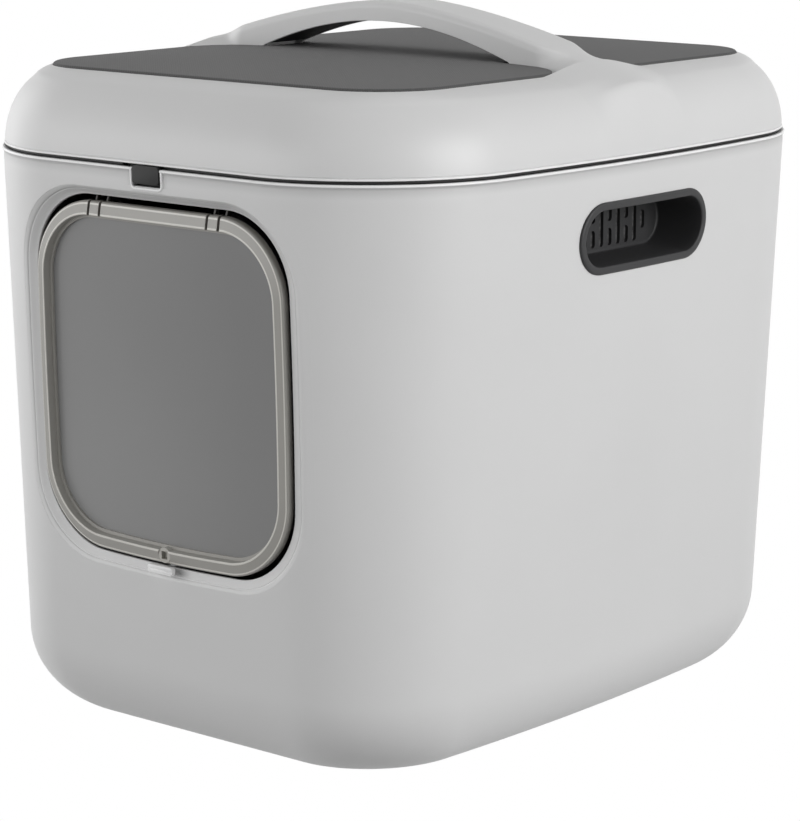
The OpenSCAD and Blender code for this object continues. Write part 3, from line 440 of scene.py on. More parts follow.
def build_notch_lip():
    """Lip that dips round the latch notch, in the lighter colour of a painted highlight."""
    path = notch_outline(1.0)
    path = path[(path[:, 1] < BODY_H + 6)]
    path = np.vstack([[(path[0, 0], BODY_H - 0.9)], path, [(path[-1, 0], BODY_H - 0.9)]])
    dense = []
    for p, q in zip(path[:-1], path[1:]):
        dense += [p + (q - p) * k / 4 for k in range(4)]
    dense = np.array(dense + [path[-1]])
    y = front_y(dense[:, 0], dense[:, 1])
    curve = np.column_stack([dense[:, 0], y - 0.05, dense[:, 1]])
    return add_object("notch_lip", *tube(curve, 0.95, 1.0, 16))


# Grips: flange, tapered cup and slotted floor in one moulding

CUP_TAPER = 2.2
FLANGE_ROUND, MOUTH_ROUND = (1.5, 1.1), (1.3, 1.2)  # across the flange and outwards
FLOOR_FILLET = 1.5
CUP_FLOOR_X = float(side_x(0, GRIP_Z)) - CUP_DEPTH
GRILLE_H = GRIP_H - 2 * (FLANGE_W + CUP_TAPER) - 4


def grip_ring(inset, out=None, x=None):
    """Ring of a grip, set out from the wall or at a fixed X."""
    p = stadium(GRIP_L - 2 * inset, GRIP_H - 2 * inset, 40)
    if x is None:
        x = side_x(p[:, 0], GRIP_Z + p[:, 1]) + out
    return np.column_stack([np.broadcast_to(x, (len(p),)), p[:, 0], GRIP_Z + p[:, 1]])


def column_slots():
    """Slots of the grille as (row, middle height, length)."""
    for column in range(-5, 6):
        rank = abs(column)
        if rank == 5:
            yield column * SLOT_PITCH, 0.0, 12.0
        elif rank % 2 == 0:
            yield column * SLOT_PITCH, 0.0, GRILLE_H
        else:
            for part in (-1, 1):
                yield column * SLOT_PITCH, part * (GRILLE_H / 4 + 1.1), GRILLE_H / 2 - 2.2


def build_grip(side, name):
    """Flange, cup and slotted floor; the left-hand one is mirrored."""
    taper = FLANGE_W + CUP_TAPER
    rings = [
        grip_ring(taper - CUP_T, x=CUP_FLOOR_X - CUP_T),
        grip_ring(CUP_AT_WALL, out=-WALL - 1),
        grip_ring(CUP_AT_WALL, out=0.1),
        grip_ring(0, out=0.05),
    ]
    across, up = FLANGE_ROUND
    for turn in turns(0, 90, 6):
        rings.append(grip_ring(across * (1 - math.cos(turn)), out=FLANGE_T - up + up * math.sin(turn)))
    rings.append(grip_ring(FLANGE_W * 0.5, out=FLANGE_T + 0.08))
    across, up = MOUTH_ROUND
    for turn in turns(0, 90, 6):
        out = FLANGE_T - up * (1 - math.cos(turn))
        rings.append(grip_ring(FLANGE_W - across + across * math.sin(turn), out=out))
    rings.append(grip_ring(FLANGE_W + 0.5, out=-6))
    for turn in turns(0, 80, 5):
        x = CUP_FLOOR_X + FLOOR_FILLET * (1 - math.sin(turn))
        rings.append(grip_ring(taper - 1.2 + FLOOR_FILLET * (1 - math.cos(turn)), x=x))
    rings.append(grip_ring(taper + 1.2, x=CUP_FLOOR_X))
    cup = weld(add_object(name, *skin(rings)))
    cuts = []
    for row, shift, length in column_slots():
        p = stadium(length, SLOT_W, 10)
        cuts.append(skin([np.column_stack([np.full(len(p), x), row + p[:, 1], GRIP_Z + shift + p[:, 0]])
                          for x in (CUP_FLOOR_X - CUP_T - 1, CUP_FLOOR_X + 1)]))
    carve(cup, cuts)
    if side < 0:
        mirror_x(cup)
    return sharpen(cup, 40)


def mirror_x(obj):
    obj.data.transform(Matrix.Scale(-1, 4, (1, 0, 0)))
    obj.data.flip_normals()


# Lid: rounded shoulder whose sides swell into the feet of the carrying arch

ARCH_REACH = HALF_W - 12
ARCH_TOP = CREST_Z + ARCH_RISE
ARCH_END = ARCH_SPAN - 6.0
ARCH_SIDE, ARCH_SKIN = 2.3, 3.5
FLARE_FROM, FOOT_W = 122.0, 104.0
ARCH_FALL, ARCH_POWER = 41.5, 1.59
UNDER_LIFT, UNDER_POWER = 1.1, 1.06
RIDGE_FALL, RIDGE_POWER, RIDGE_IN = 29.0, 2.2, 2.2
BELL_POWER = 1.3
RIDGE_TAIL = ((197.95, 386.0), (198.35, 381.5), (198.65, 377.0))  # X and Z where the ridge meets the hem
EDGE_R, FOOT_SINK = 4.5, 1.6
SKIRT_TO_BELL, BELL_BLEND = 124.0, 30.0

# The shoulder's outline turns from the rim's into the panel's between these insets and the crest
PLAN_FROM, CORNER_FROM = 24.0, 20.0
CORNER_FALL, BOW_FALL = 0.81, 120.0


def arch_over(x):
    """Top of the arch."""
    return ARCH_TOP - ARCH_FALL * (np.minimum(np.abs(x), ARCH_REACH) / ARCH_REACH) ** ARCH_POWER


def arch_under(x):
    """Underside of the arch."""
    rise = np.maximum(0, 1 - (np.asarray(x) / (ARCH_SPAN + 2)) ** 2) ** UNDER_POWER
    return CREST_Z + UNDER_LIFT + ARCH_OPEN * rise


def foot_half(x):
    """Half the arch's width, which flares out to its feet."""
    x = abs(x)
    if x < FLARE_FROM:
        return ARCH_W / 2
    if x < PANEL_X:
        t = (x - FLARE_FROM) / (PANEL_X - FLARE_FROM)
        return FOOT_W / 2 - (FOOT_W / 2 - ARCH_W / 2) * math.sqrt(max(0.0, 1 - t * t))
    return FOOT_W / 2 - 8 * float(blend01((x - PANEL_X) / 40))


def ridge_z(x):
    """Ridge of the arch, rolled over the shoulder at its end."""
    over = np.maximum(x - ARCH_REACH, 0)
    return arch_over(x) - RIDGE_FALL * (over / (HALF_W - RIDGE_IN - ARCH_REACH)) ** RIDGE_POWER


def bell(c):
    """Cross profile of a foot: 1 in the middle, 0 at its edges."""
    return np.cos(np.pi / 2 * np.clip(np.abs(c), 0, 1)) ** BELL_POWER


SHOULDER_STOPS = np.arange(0, 61, 2.0)


def shoulder_stops(reach):
    """Shares along a long side, closely spaced where the arch lands."""
    far = np.linspace(60, reach, 16)[1:-1]
    y = np.concatenate([far[::-1], SHOULDER_STOPS[:0:-1], -SHOULDER_STOPS, -far])
    return (reach - y) / (2 * reach)


LID_STEPS = dict(turn=40, flat=40, tall_stops=shoulder_stops)


def toward_panel(inset, start):
    return float(blend01((inset - start) / (CREST_IN - start)))


def shoulder_ring(angle, thick=0.0):
    """Ring of the shoulder, from 0 degrees at its foot to 90 at the crest."""
    turn = math.radians(angle)
    inset = LID_IN + SHOULDER_W * (1 - math.cos(turn))
    share = toward_panel(inset, PLAN_FROM)
    inner = thick * math.cos(turn)
    near = toward_panel(inset, CORNER_FROM)
    radius = CORNER_R - CORNER_FALL * inset - (CORNER_R - CORNER_FALL * CREST_IN - PANEL_R) * near - inner
    low = outline(inset + inner, radius, (1 - inset / BOW_FALL) * (1 - near), **LID_STEPS)
    top = rounded(PANEL_X - inner, PANEL_Y - inner, PANEL_R, **LID_STEPS)
    return lift(low * (1 - share) + top * share, LID_Z + (SHOULDER_H - thick) * math.sin(turn))


def length_shares(curve):
    """How far along a curve each of its points lies, as a share of its length."""
    length = np.concatenate([[0], np.cumsum(np.linalg.norm(np.diff(curve, axis=0), axis=1))])
    return length / length[-1]


def foot_lift(angles):
    """How far the middle of each side moves from the shoulder to the ridge of the arch."""
    side = np.array([[HALF_W - LID_IN - SHOULDER_W * (1 - math.cos(math.radians(a))),
                      LID_Z + SHOULDER_H * math.sin(math.radians(a))] for a in angles])
    share_in = np.array([toward_panel(HALF_W - x, PLAN_FROM) for x in side[:, 0]])
    side[:, 0] = side[:, 0] * (1 - share_in) + PANEL_X * share_in
    share = length_shares(side)
    xs = np.concatenate([np.linspace(PANEL_X, 186, 40), np.linspace(186.3, 197.4, 60)])
    ridge = np.vstack([np.column_stack([xs, ridge_z(xs)]), RIDGE_TAIL, side[:1]])[::-1]
    at = length_shares(ridge)
    moved = np.column_stack([np.interp(share, at, ridge[:, 0]), np.interp(share, at, ridge[:, 1])])
    return moved - side


def raise_feet(ring, shift):
    """Moves the points of a shoulder ring under the feet of the arch."""
    out = ring.copy()
    half = np.array([foot_half(max(abs(x), PANEL_X)) for x in ring[:, 0]])
    on_side = np.abs(ring[:, 0]) > PANEL_X - 3
    weight = np.where(on_side, bell(ring[:, 1] / half), 0)
    out[:, 0] += np.sign(ring[:, 0]) * shift[0] * weight
    out[:, 2] += shift[1] * weight
    return out


# Hem of the lid, outwards and upwards from the foot of its shoulder: a lip with a painted highlight under a
# fine groove
HEM = ((0.2, 0.0), (0.45, 0.3), (0.5, 0.6), (0.42, 0.95), (0.05, 1.3),
       (-0.34, 1.42), (-0.36, 1.78), (-0.02, 2.05))


def build_lid_cover():
    """Hem, shoulder, ledge for the panel and inside in one skin, joined by the arch."""
    angles = np.concatenate([np.linspace(3.2, 18, 9), np.linspace(20.5, 90, 34)])
    rings = [shoulder_ring(0, 0.9)]
    for out, up in HEM:
        low = outline(LID_IN - out, CORNER_R - CORNER_FALL * LID_IN + out, 1 - LID_IN / BOW_FALL, **LID_STEPS)
        rings.append(lift(low, LID_Z + up))
    for a, shift in zip(angles, foot_lift(angles)):
        rings.append(raise_feet(shoulder_ring(a), shift))

    def inner_ring(inset, z):
        return lift(rounded(PANEL_X - inset, PANEL_Y - inset, PANEL_R - inset, **LID_STEPS), z)

    ledge = CREST_Z - PANEL_T - 0.1
    rings += [inner_ring(0.12, CREST_Z - 0.25), inner_ring(0.14, ledge), inner_ring(5, ledge),
              inner_ring(5, ledge - 2.2), inner_ring(1, ledge - 2.2)]
    rings += [shoulder_ring(a, LID_WALL) for a in (76, 66, 56, 46, 36, 26, 17, 8, 0)]
    body = skin(rings, looped=True)

    arch = skin(arch_rings(), caps=False)
    lid = add_object("lid_shell", *join_parts([body, arch]))
    # Painted highlight: the lip of the hem takes the lighter shell colour
    paint(lid, rings, {1: range(2, 5)})
    return sharpen(weld(lid), 38)


def arch_section(x, low, base, top):
    """Half section of the arch from its middle outwards: flat top, rounded edge, hollow skirt."""
    h = foot_half(x)
    m = float(blend01((abs(x) - SKIRT_TO_BELL) / BELL_BLEND))
    r = min(EDGE_R, top - base)
    half = ARCH_W / 2
    flat = np.array([0, 3, 6, 9, 12, 14.5, 16, 17.3, 18.4, 19.3, 20]) * half / 20
    d = half - flat
    flat_z = top - np.where(d < r, r - np.sqrt(np.maximum(r * r - (r - d) ** 2, 0)), 0)
    foot_z = max(base, low + 1.0)
    turn = np.pi / 2 * np.arange(1, 17) / 16
    y = np.concatenate([flat, half + (h - half) * (1 - np.cos(turn))])
    z = np.concatenate([flat_z, (top - r) - (top - r - foot_z) * np.sin(turn)])
    y_bell = SHOULDER_STOPS[:27] * h / SHOULDER_STOPS[26]
    y = y * (1 - m) + y_bell * m
    z = z * (1 - m) + (base + (top - base) * bell(y_bell / h)) * m
    return y, z


def arch_rings():
    """Open sections from one foot to the other; they meet the swollen shoulder at the panel's edge."""
    stations = FLARE_FROM + (PANEL_X - FLARE_FROM) * np.cos(np.linspace(0, np.pi / 2, 36))
    stations = np.concatenate([stations, np.linspace(FLARE_FROM, 0, 40)[1:]])
    stations = np.concatenate([stations, -stations[-2::-1]])
    rings = []
    for x in stations:
        h = foot_half(x)
        near = float(blend01((PANEL_X - abs(x)) / 12))
        base = CREST_Z - 0.4 * near
        top = float(arch_over(x))
        open_share = float(blend01((ARCH_END + 8 - abs(x)) / 8))
        low = CREST_Z - FOOT_SINK + (float(arch_under(x)) - CREST_Z + FOOT_SINK) * open_share
        y, z = arch_section(x, low, base, top)
        sides = [z[-1] + (low - z[-1]) * k for k in (0.33, 0.66)]
        half = [(x, h - ARCH_SIDE, low), (x, h - 0.3, low), (x, h, low + 0.3)]
        half += [(x, h, sides[1]), (x, h, sides[0])]
        half += [(x, yi, zi) for yi, zi in zip(y[::-1], z[::-1])]
        ring = half + [(x, -yi, zi) for _, yi, zi in half[-2::-1]]
        ceiling = low + 0.4 + max(top - ARCH_SKIN - low - 0.4, 0) * open_share
        ring += [(x, ARCH_SIDE - h, ceiling), (x, h - ARCH_SIDE, ceiling)]
        rings.append(np.array(ring))
    return rings


LATCH_ROOM = 22.0  # half the gap that the seam frame leaves for the latch
FRAME_CORNER_FALL = 0.8


def build_lid_frame():
    """Dark seam frame and its skirt."""
    def at(inset, z):
        return lift(outline(inset, CORNER_R - FRAME_CORNER_FALL * inset, 1, **DENSE), z)
    seat, tongue, skirt = BODY_H + 0.3, LID_Z + 7, BODY_H - 7.5
    rings = [
        at(LID_IN + 1.2, seat), at(LID_IN + 0.9, BODY_H + 0.6), at(LID_IN + 0.9, LID_Z),
        at(LID_IN + 3, LID_Z), at(LID_IN + 3.6, tongue), at(LID_IN + 5.8, tongue),
        at(LID_IN + 5, skirt), at(WALL + 0.7, skirt), at(WALL + 0.7, seat),
    ]
    band = weld(add_object("seam_frame", *skin(rings, looped=True)))
    low, high = (-LATCH_ROOM, -HALF_D - 2, skirt - 1), (LATCH_ROOM, -HALF_D + 14, tongue + 2)
    carve(band, [box_solid(low, high)])
    return sharpen(band, 40)


ROLL_UP = 1.7  # height of the panel's rolled edge over the crest
FOOT_GAP = 0.25


def build_panel():
    """Domed panel with a rolled edge, cut away at the feet of the arch."""
    def ring(inset, z):
        return lift(rounded(PANEL_X - inset, PANEL_Y - inset, PANEL_R - inset, turn=32, tall=60, flat=44), z)

    def dome(share):
        p = rounded(PANEL_X - 3, PANEL_Y - 3, PANEL_R - 3, turn=32, tall=60, flat=44)
        return lift(p * share, CREST_Z + ROLL_UP + (PANEL_CROWN - ROLL_UP) * (1 - share * share))
    rings = [ring(0.9, CREST_Z - PANEL_T), ring(0.5, CREST_Z - 1.0)]
    for turn in turns(0, 80, 8):
        rings.append(ring(0.5 + 2.4 * (1 - math.cos(turn)), CREST_Z + (ROLL_UP + 0.05) * math.sin(turn)))
    rolled = len(rings)
    rings += [dome(share) for share in np.linspace(1, 0.06, 30)]
    panel = add_object("weave_panel", *skin(rings))
    # Painted shade: the rolled edge takes a darker weave
    paint(panel, rings, {1: range(0, rolled - 3)})
    weld(panel)
    cuts = []
    for side in (-1, 1):
        xs = FLARE_FROM + (PANEL_X - FLARE_FROM) * np.sin(np.linspace(0, np.pi / 2, 24))
        edge = [(ARCH_END - 6, ARCH_W / 2 + FOOT_GAP)]
        edge += [(x, foot_half(x) + FOOT_GAP) for x in xs]
        edge = np.array(edge + [(PANEL_X + 20, FOOT_W / 2 + FOOT_GAP)])
        shape = np.vstack([edge * [1, -1], edge[::-1]])
        shape[:, 0] *= side
        cuts.append(skin([lift(shape, CREST_Z - 20), lift(shape, CREST_Z + 20)]))
    carve(panel, cuts)
    return sharpen(panel, 50)


# Flap: rounded band with painted highlights on its edges, notched at its two clips

PIVOT_DEPTH, CLIP_X, CLIP_W, CLIP_WALL, CLIP_EYE_R = 8.4, 50.0, 7.4, 1.4, 2.9
FLAP_AXIS_Z = FLAP_TOP - 5.4
FLAP_AXIS_Y = float(crest_y(FLAP_AXIS_Z)) + PIVOT_DEPTH
KEEPER_R, KEEPER_Z = 4.9, FLAP_FOOT + 5.6
BAND_BACK = 6.6

# Face of the band: share of the way from its outer to its inner edge, and depth
BAND_FACE = ((0.24, 1.3), (0.3, 1.2), (0.5, 0.85), (0.7, 0.52), (0.84, 0.28), (0.89, 0.12), (0.94, 0.08),
             (0.98, 0.18), (1, 0.6))
# Inside of the band: how far it is drawn in, and depth, with the seat of the pane
BAND_SEAT = ((0.3, 5.2), (2.2, 5.4), (2.2, 7), (-1.8, 7), (-2, 2.6))


def on_flap(obj):
    """Leans a piece drawn in the plane of the flap back with the flap."""
    turn = Matrix.Rotation(math.radians(FLAP_TILT), 4, "X")
    place = Matrix.Translation(Vector((0, FLAP_AXIS_Y, FLAP_AXIS_Z)) * MM)
    back = Matrix.Translation(Vector((0, -PIVOT_DEPTH, -FLAP_AXIS_Z)) * MM)
    obj.data.transform(place @ turn @ back)
    return obj


def band_ring(part, extra, y):
    """Ring of the band: part 0 at its outer edge and 1 at its inner one, drawn in further by extra."""
    p = flap_outline(-part * BAND_SIDE - extra, -part * BAND_END - extra, -part * BAND_END - extra,
                     FLAP_R - part * (BAND_SIDE + BAND_END) / 2 - extra, turn=32, tall=24, flat=24)
    return np.column_stack([p[:, 0], np.full(len(p), y), p[:, 1]])


def build_band():
    """Hollow band with slots for the clips and a hole for the keeper."""
    rings = [band_ring(0, 0, y) for y in (BAND_BACK, 3.6)]
    for turn in turns(10, 80, 7):
        rings.append(band_ring(0, 1.7 * (1 - math.cos(turn)), 3.4 - 1.9 * math.sin(turn)))
    outer = len(rings) - 2
    rings += [band_ring(part, 0, y) for part, y in BAND_FACE]
    inner = len(rings) - 5
    rings += [band_ring(1, extra, y) for extra, y in BAND_SEAT]
    rings += [band_ring(0, extra, y) for extra, y in ((2, 3.9), (1.8, BAND_BACK))]
    band = add_object("flap_band", *skin(rings, looped=True))
    # Painted highlights: strips at the band's outer and inner edges take a lighter colour
    paint(band, rings, {1: [*range(outer, outer + 2), *range(inner, inner + 4)]})
    weld(band)
    cuts = []
    for side in (-1, 1):
        for prong in (-1, 1):
            x = side * CLIP_X + prong * (CLIP_W / 2 + CLIP_WALL / 2 + 0.4)
            half = CLIP_WALL / 2 + 0.35
            low = FLAP_AXIS_Z - CLIP_EYE_R - 0.5
            cuts.append(box_solid((x - half, -1, low), (x + half, 14, FLAP_AXIS_Z + 20)))
    turn = 2 * np.pi * np.arange(40) / 40
    disc = np.column_stack([KEEPER_R * np.cos(turn), KEEPER_Z + KEEPER_R * np.sin(turn)])
    cuts.append(prism(disc, -1, 8))
    carve(band, cuts)
    return on_flap(sharpen(band, 32))


def softened(node, width, name, body):
    """Smooth copy of a CAD node with its sharp edges rounded off."""
    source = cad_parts[node]
    obj = bpy.data.objects.new(name, source.data.copy())
    scene.collection.objects.link(obj)
    bm = bmesh.new()
    bm.from_mesh(obj.data)
    bmesh.ops.remove_doubles(bm, verts=bm.verts, dist=WELD)
    bmesh.ops.dissolve_limit(bm, angle_limit=math.radians(1.5), verts=bm.verts, edges=bm.edges)
    bm.to_mesh(obj.data)
    bm.free()
    rounding = obj.modifiers.new("rounding", "BEVEL")
    rounding.width = width * MM
    rounding.segments = 2
    rounding.limit_method = "ANGLE"
    rounding.angle_limit = math.radians(30)
    apply_modifiers(obj)
    sharpen(obj, 50)
    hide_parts(node)
    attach(obj, body)
    return obj


# Finishes

def level(value):
    """Linear value of an sRGB level from 0 to 255."""
    c = value / 255
    return c / 12.92 if c <= 0.04045 else ((c + 0.055) / 1.055) ** 2.4


def colour(r, g=None, b=None):
    """Linear colour from sRGB levels; one level alone gives a grey."""
    g = r if g is None else g
    b = r if b is None else b
    return (level(r), level(g), level(b), 1)


class Finish:
    """A material in the making, with the steps that the finishes share."""

    def __init__(self, name):
        self.material = bpy.data.materials.new(name)
        self.material.use_nodes = True
        self.nodes = self.material.node_tree.nodes
        self.links = self.material.node_tree.links
        self.bsdf = self.nodes["Principled BSDF"]
        self.place = self.nodes.new("ShaderNodeTexCoord").outputs["Object"]

    def noise(self, scale, detail):
        node = self.nodes.new("ShaderNodeTexNoise")
        node.inputs["Scale"].default_value = scale
        node.inputs["Detail"].default_value = detail
        self.links.new(self.place, node.inputs["Vector"])
        return node.outputs["Fac"]

    def ranged(self, source, low, high, start=0.0, end=1.0, kind="LINEAR"):
        """Maps a value between start and end to one between low and high."""
        node = self.nodes.new("ShaderNodeMapRange")
        node.interpolation_type = kind
        node.inputs["From Min"].default_value = start
        node.inputs["From Max"].default_value = end
        node.inputs["To Min"].default_value = low
        node.inputs["To Max"].default_value = high
        self.links.new(source, node.inputs["Value"])
        return node.outputs["Result"]

    def graded(self, tone, grades):
        """Multiplies a tone by soft steps along a direction or away from a point, in metres."""
        for measure, vector, start, end, first, last in grades:
            along = self.nodes.new("ShaderNodeVectorMath")
            along.operation = measure
            along.inputs[1].default_value = vector
            self.links.new(self.place, along.inputs[0])
            step = self.ranged(along.outputs["Value"], first, last, start, end, "SMOOTHSTEP")
            product = self.nodes.new("ShaderNodeMath")
            product.operation = "MULTIPLY"
            self.links.new(tone, product.inputs[0])
            self.links.new(step, product.inputs[1])
            tone = product.outputs["Value"]
        return tone

    def bump(self, height, strength, distance, invert=False):
        node = self.nodes.new("ShaderNodeBump")
        node.inputs["Strength"].default_value = strength
        node.inputs["Distance"].default_value = distance
        node.invert = invert
        self.links.new(height, node.inputs["Height"])
        self.links.new(node.outputs["Normal"], self.bsdf.inputs["Normal"])

    def shade(self, base, tone):
        """Base colour, scaled by a tone."""
        node = self.nodes.new("ShaderNodeVectorMath")
        node.operation = "SCALE"
        node.inputs[0].default_value = base[:3]
        self.links.new(tone, node.inputs["Scale"])
        self.links.new(node.outputs["Vector"], self.bsdf.inputs["Base Color"])

    def rough(self, source):
        self.links.new(source, self.bsdf.inputs["Roughness"])

    def settle(self, **values):
        """Sets plain inputs of the surface, named with underscores for spaces."""
        for name, value in values.items():
            self.bsdf.inputs[name.replace("_", " ")].default_value = value
        return self.material


TONE_DRIFT, GLOSS_DRIFT = 0.03, 0.03
WEAVE_PITCH = 1.4


def plastic(name, shade, rough, grain=900.0, depth=0.05, sheen=0.5, grades=()):
    """Moulded plastic: a fine spark-eroded grain and a faint drift in tone and gloss; grades, where given,
    paint shade and light onto the tone by place.
    """
    finish = Finish(name)
    finish.bump(finish.noise(grain, 3), depth, 0.0004)
    broad = finish.noise(9, 2)
    tone = finish.ranged(broad, 1 - TONE_DRIFT, 1 + TONE_DRIFT)
    finish.shade(shade, finish.graded(tone, grades))
    finish.rough(finish.ranged(broad, rough - GLOSS_DRIFT, rough + GLOSS_DRIFT))
    return finish.settle(Specular_IOR_Level=sheen)


def woven(name, shade, depth):
    """Fine weave: a diagonal grid of raised dots, in bump and in tone."""
    finish = Finish(name)
    turn = finish.nodes.new("ShaderNodeMapping")
    turn.inputs["Rotation"].default_value = (0, 0, math.radians(45))
    turn.inputs["Scale"].default_value = (1, 1, 0.0)
    finish.links.new(finish.place, turn.inputs["Vector"])
    dots = finish.nodes.new("ShaderNodeTexVoronoi")
    dots.inputs["Scale"].default_value = 1 / (WEAVE_PITCH * MM)
    dots.inputs["Randomness"].default_value = 0.0
    finish.links.new(turn.outputs["Vector"], dots.inputs["Vector"])
    finish.bump(dots.outputs["Distance"], depth, 0.0005, invert=True)
    finish.shade(shade, finish.ranged(dots.outputs["Distance"], 1.12, 0.72, end=0.7))
    return finish.settle(Roughness=0.75, Specular_IOR_Level=0.3)


def felt(name, shade):
    """Charcoal felt: a coarse grain in tone and bump."""
    finish = Finish(name)
    grain = finish.noise(420, 6)
    finish.shade(shade, finish.ranged(grain, 0.5, 2.6, start=0.35, end=0.7))
    finish.bump(grain, 0.6, 0.001)
    return finish.settle(Roughness=0.95)


def metal(name):
    """Bright steel with an uneven gloss."""
    finish = Finish(name)
    finish.rough(finish.ranged(finish.noise(300, 2), 0.22, 0.4))
    return finish.settle(Base_Color=colour(188, 188, 192), Metallic=1.0)


UP, ACROSS = (0, 0, 1), (1, 0, 0)
FINISH = {
    "shell": plastic("shell_plastic", colour(206), 0.42),
    # Painted soft shadow under the rim's lip and round the latch notch: the tub's colour is darkened there
    "shell_tub": plastic("tub_plastic_painted_shadow", colour(206), 0.42, grades=(
        ("DOT_PRODUCT", UP, 0.3605, 0.3680, 1.0, 0.78),
        ("DISTANCE", (0, -0.2375, 0.3625), 0.0125, 0.0185, 0.78, 1.0),
    )),
    # Lighter shell colour: painted highlight on lips and rounded edges
    "shell_edge": plastic("shell_painted_highlight_plastic", colour(232), 0.34),
    # Painted shading on the surround's crease: lighter low down, darker high up
    "crease": plastic("crease_painted_shading", colour(206), 0.42, grades=(
        ("DOT_PRODUCT", UP, 0.13, 0.34, 1.14, 0.80),
    )),
    "lock": plastic("lock_plastic", colour(230), 0.36),
    "dark": plastic("dark_plastic", colour(47, 47, 48), 0.5, sheen=0.3),
    "seam": plastic("seam_plastic", colour(40), 0.55, sheen=0.2),
    "trim": plastic("dark_tab_plastic", colour(35), 0.5, sheen=0.2),
    "band": plastic("band_plastic", colour(150, 148, 143), 0.36),
    # Lighter band colour: painted highlights on the band's edges
    "band_edge": plastic("band_painted_highlight_plastic", colour(206, 204, 198), 0.3),
    "clip": plastic("clip_plastic", colour(66, 64, 61), 0.5, sheen=0.3),
    "panel": woven("weave", colour(99), 0.5),
    # Darker weave: painted shade on the panel's rolled edge
    "rolled": woven("rolled_weave_painted_shade", colour(78), 0.7),
    # Painted shading on the smoked pane: lighter to the left and low down, darker to the right and high up
    "pane": plastic("smoked_pane_painted_shading", colour(128), 0.3, grain=200, depth=0.01, grades=(
        ("DOT_PRODUCT", ACROSS, -0.1, 0.1, 1.08, 0.84), ("DOT_PRODUCT", UP, 0.16, 0.36, 1.06, 0.82),
    )),
    "clear": plastic("frosted_plug", colour(176, 174, 168), 0.2),
    "charcoal": felt("charcoal_felt", colour(52)),
    "steel": metal("steel"),
}


def finish_as(obj, *kinds):
    """Gives a piece one finish a material slot."""
    slots = obj.data.materials
    while len(slots) > len(kinds):
        slots.pop()
    for i, kind in enumerate(kinds):
        if i < len(slots):
            slots[i] = FINISH[kind]
        else:
            slots.append(FINISH[kind])


def dressed(obj, body, kinds, *nodes):
    """Gives a piece its finishes, the body that it rides on and the nodes that it stands for."""
    finish_as(obj, *kinds.split())
    if nodes:
        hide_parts(*nodes)
    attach(obj, body)


# Pieces in place

dressed(build_tub(), "base", "shell_tub shell_edge", "base_tub")
dressed(build_surround(), "base", "shell crease shell_edge")
dressed(build_notch_lip(), "base", "shell_edge")
dressed(build_grip(1, "grip_right"), "base", "dark", "grip_cup_right")
dressed(build_grip(-1, "grip_left"), "base", "dark", "grip_cup_left")
dressed(build_lid_cover(), "lid", "shell shell_edge", "lid_cover")
dressed(build_lid_frame(), "lid", "seam", "lid_frame")
dressed(build_panel(), "lid", "panel rolled", "top_panel")
dressed(build_band(), "flap", "band band_edge", "flap_frame")
finish_as(softened("lid_latch", 0.5, "latch_tab", "lid_latch"), "trim")
finish_as(softened("flap_lock", 0.3, "lock_tab", "flap_lock"), "lock")
for side_name in ("right", "left"):
    finish_as(softened(f"flap_clip_{side_name}", 0.3, f"clip_{side_name}", "base"), "clip")
    finish_as(softened(f"hinge_bracket_{side_name}", 0.5, f"bracket_{side_name}", "base"), "dark")
    finish_as(softened(f"hinge_leaf_{side_name}", 0.5, f"leaf_{side_name}", "lid"), "dark")

# CAD nodes that show as they are, by the start of their names
KINDS = {
    "filter_pad": "charcoal", "filter_cover": "dark", "hinge_pin": "steel", "bracket_screws": "steel",
    "flap_pane": "pane", "flap_keeper": "clear", "flap_pin": "steel", "flap_lock_plate": "dark",
    "handle_liner": "dark", "leaf_screws": "steel", "latch_bracket": "dark", "latch_pin": "steel",
    "latch_spring": "steel",
}
for name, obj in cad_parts.items():
    for prefix, kind in KINDS.items():
        if name.startswith(prefix):
            for slot in obj.material_slots:
                slot.material = FINISH[kind]

# Floor, light and camera

FLOOR_REACH = 6000.0
WHITE = (1, 1, 1, 1)


def seen_as_white(tree, white_kind, lit, output):
    """Shows white to camera and glossy rays, and the lit surface to all others."""
    rays = tree.nodes.new("ShaderNodeLightPath")
    direct = tree.nodes.new("ShaderNodeMath")
    direct.operation = "MAXIMUM"
    white = tree.nodes.new(white_kind)
    white.inputs["Color"].default_value = WHITE
    white.inputs["Strength"].default_value = 1.0
    choose = tree.nodes.new("ShaderNodeMixShader")
    tree.links.new(rays.outputs["Is Camera Ray"], direct.inputs[0])
    tree.links.new(rays.outputs["Is Glossy Ray"], direct.inputs[1])
    tree.links.new(direct.outputs["Value"], choose.inputs["Fac"])
    tree.links.new(lit, choose.inputs[1])
    tree.links.new(white.outputs[0], choose.inputs[2])
    tree.links.new(choose.outputs["Shader"], output.inputs["Surface"])


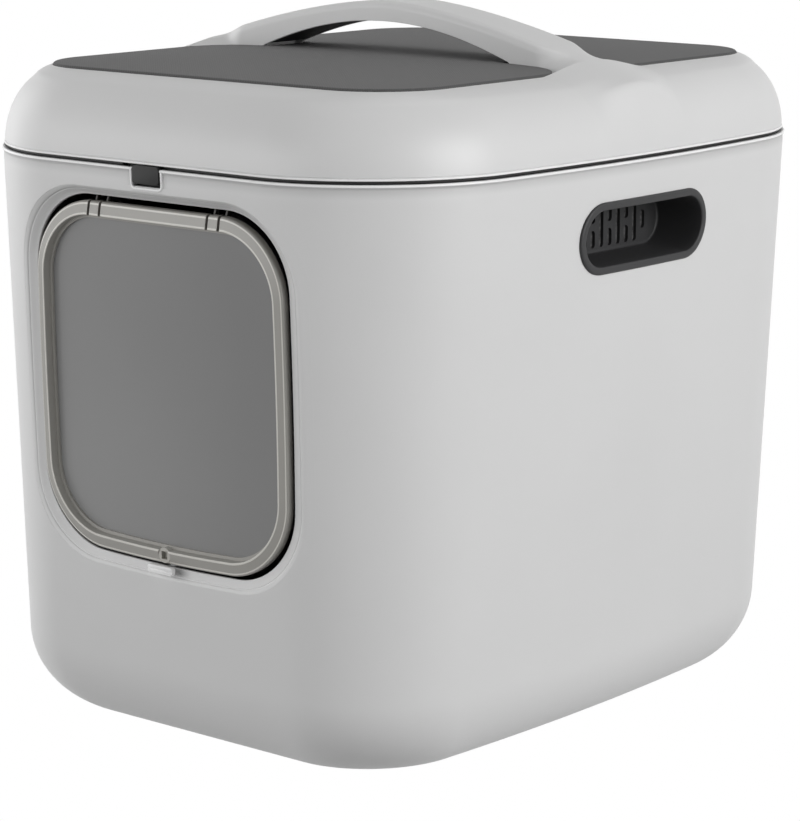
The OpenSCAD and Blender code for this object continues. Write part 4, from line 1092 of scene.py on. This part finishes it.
reach = FLOOR_REACH
floor = add_object("floor", [(-reach, -reach, 0), (reach, -reach, 0), (reach, reach, 0), (-reach, reach, 0)],
                   [(0, 1, 2, 3)])
ground = bpy.data.materials.new("studio_floor")
ground.use_nodes = True
ground_bsdf = ground.node_tree.nodes["Principled BSDF"]
ground_bsdf.inputs["Base Color"].default_value = colour(160)
ground_bsdf.inputs["Roughness"].default_value = 0.9
seen_as_white(ground.node_tree, "ShaderNodeEmission", ground_bsdf.outputs["BSDF"],
              ground.node_tree.nodes["Material Output"])
floor.data.materials.append(ground)

world = bpy.data.worlds.new("studio")
scene.world = world
world.use_nodes = True
backdrop = world.node_tree.nodes["Background"]
backdrop.inputs["Color"].default_value = WHITE
backdrop.inputs["Strength"].default_value = 0.12
seen_as_white(world.node_tree, "ShaderNodeBackground", backdrop.outputs["Background"],
              world.node_tree.nodes["World Output"])


def softbox(name, place, aim, width, height, power):
    """Rectangular area light in metres and watts, turned towards a point."""
    light = bpy.data.lights.new(name, "AREA")
    light.shape = "RECTANGLE"
    light.size, light.size_y = width, height
    light.energy = power
    obj = bpy.data.objects.new(name, light)
    obj.location = place
    obj.rotation_euler = (Vector(aim) - Vector(place)).to_track_quat("-Z", "Y").to_euler()
    scene.collection.objects.link(obj)


softbox("key", (2.4, 0.1, 0.95), (0, 0, 0.2), 1.6, 1.6, 50)
softbox("left", (-2.4, -0.5, 0.8), (0, 0, 0.2), 2.4, 1.8, 22)
softbox("front", (-1.0, -2.3, 0.7), (0, 0, 0.2), 2.4, 1.4, 30)
softbox("top", (0.0, 0.3, 2.4), (0, 0, 0.3), 1.8, 1.8, 8)

# The photograph's camera, in metres, millimetres and degrees
CAMERA_AT, LENS, SENSOR = (1.29488, -1.54410, 0.59818), 134.5, 36
AZIMUTH, ELEVATION = 40.02, 11.61

camera_data = bpy.data.cameras.new("camera")
camera_data.lens = LENS
camera_data.sensor_width = SENSOR
camera = bpy.data.objects.new("camera", camera_data)
scene.collection.objects.link(camera)
scene.camera = camera
camera.location = CAMERA_AT
azimuth, elevation = math.radians(AZIMUTH), math.radians(ELEVATION)
ahead = Vector((-math.sin(azimuth) * math.cos(elevation), math.cos(azimuth) * math.cos(elevation),
                -math.sin(elevation)))
camera.rotation_euler = ahead.to_track_quat("-Z", "Y").to_euler()

scene.view_settings.view_transform = "Standard"
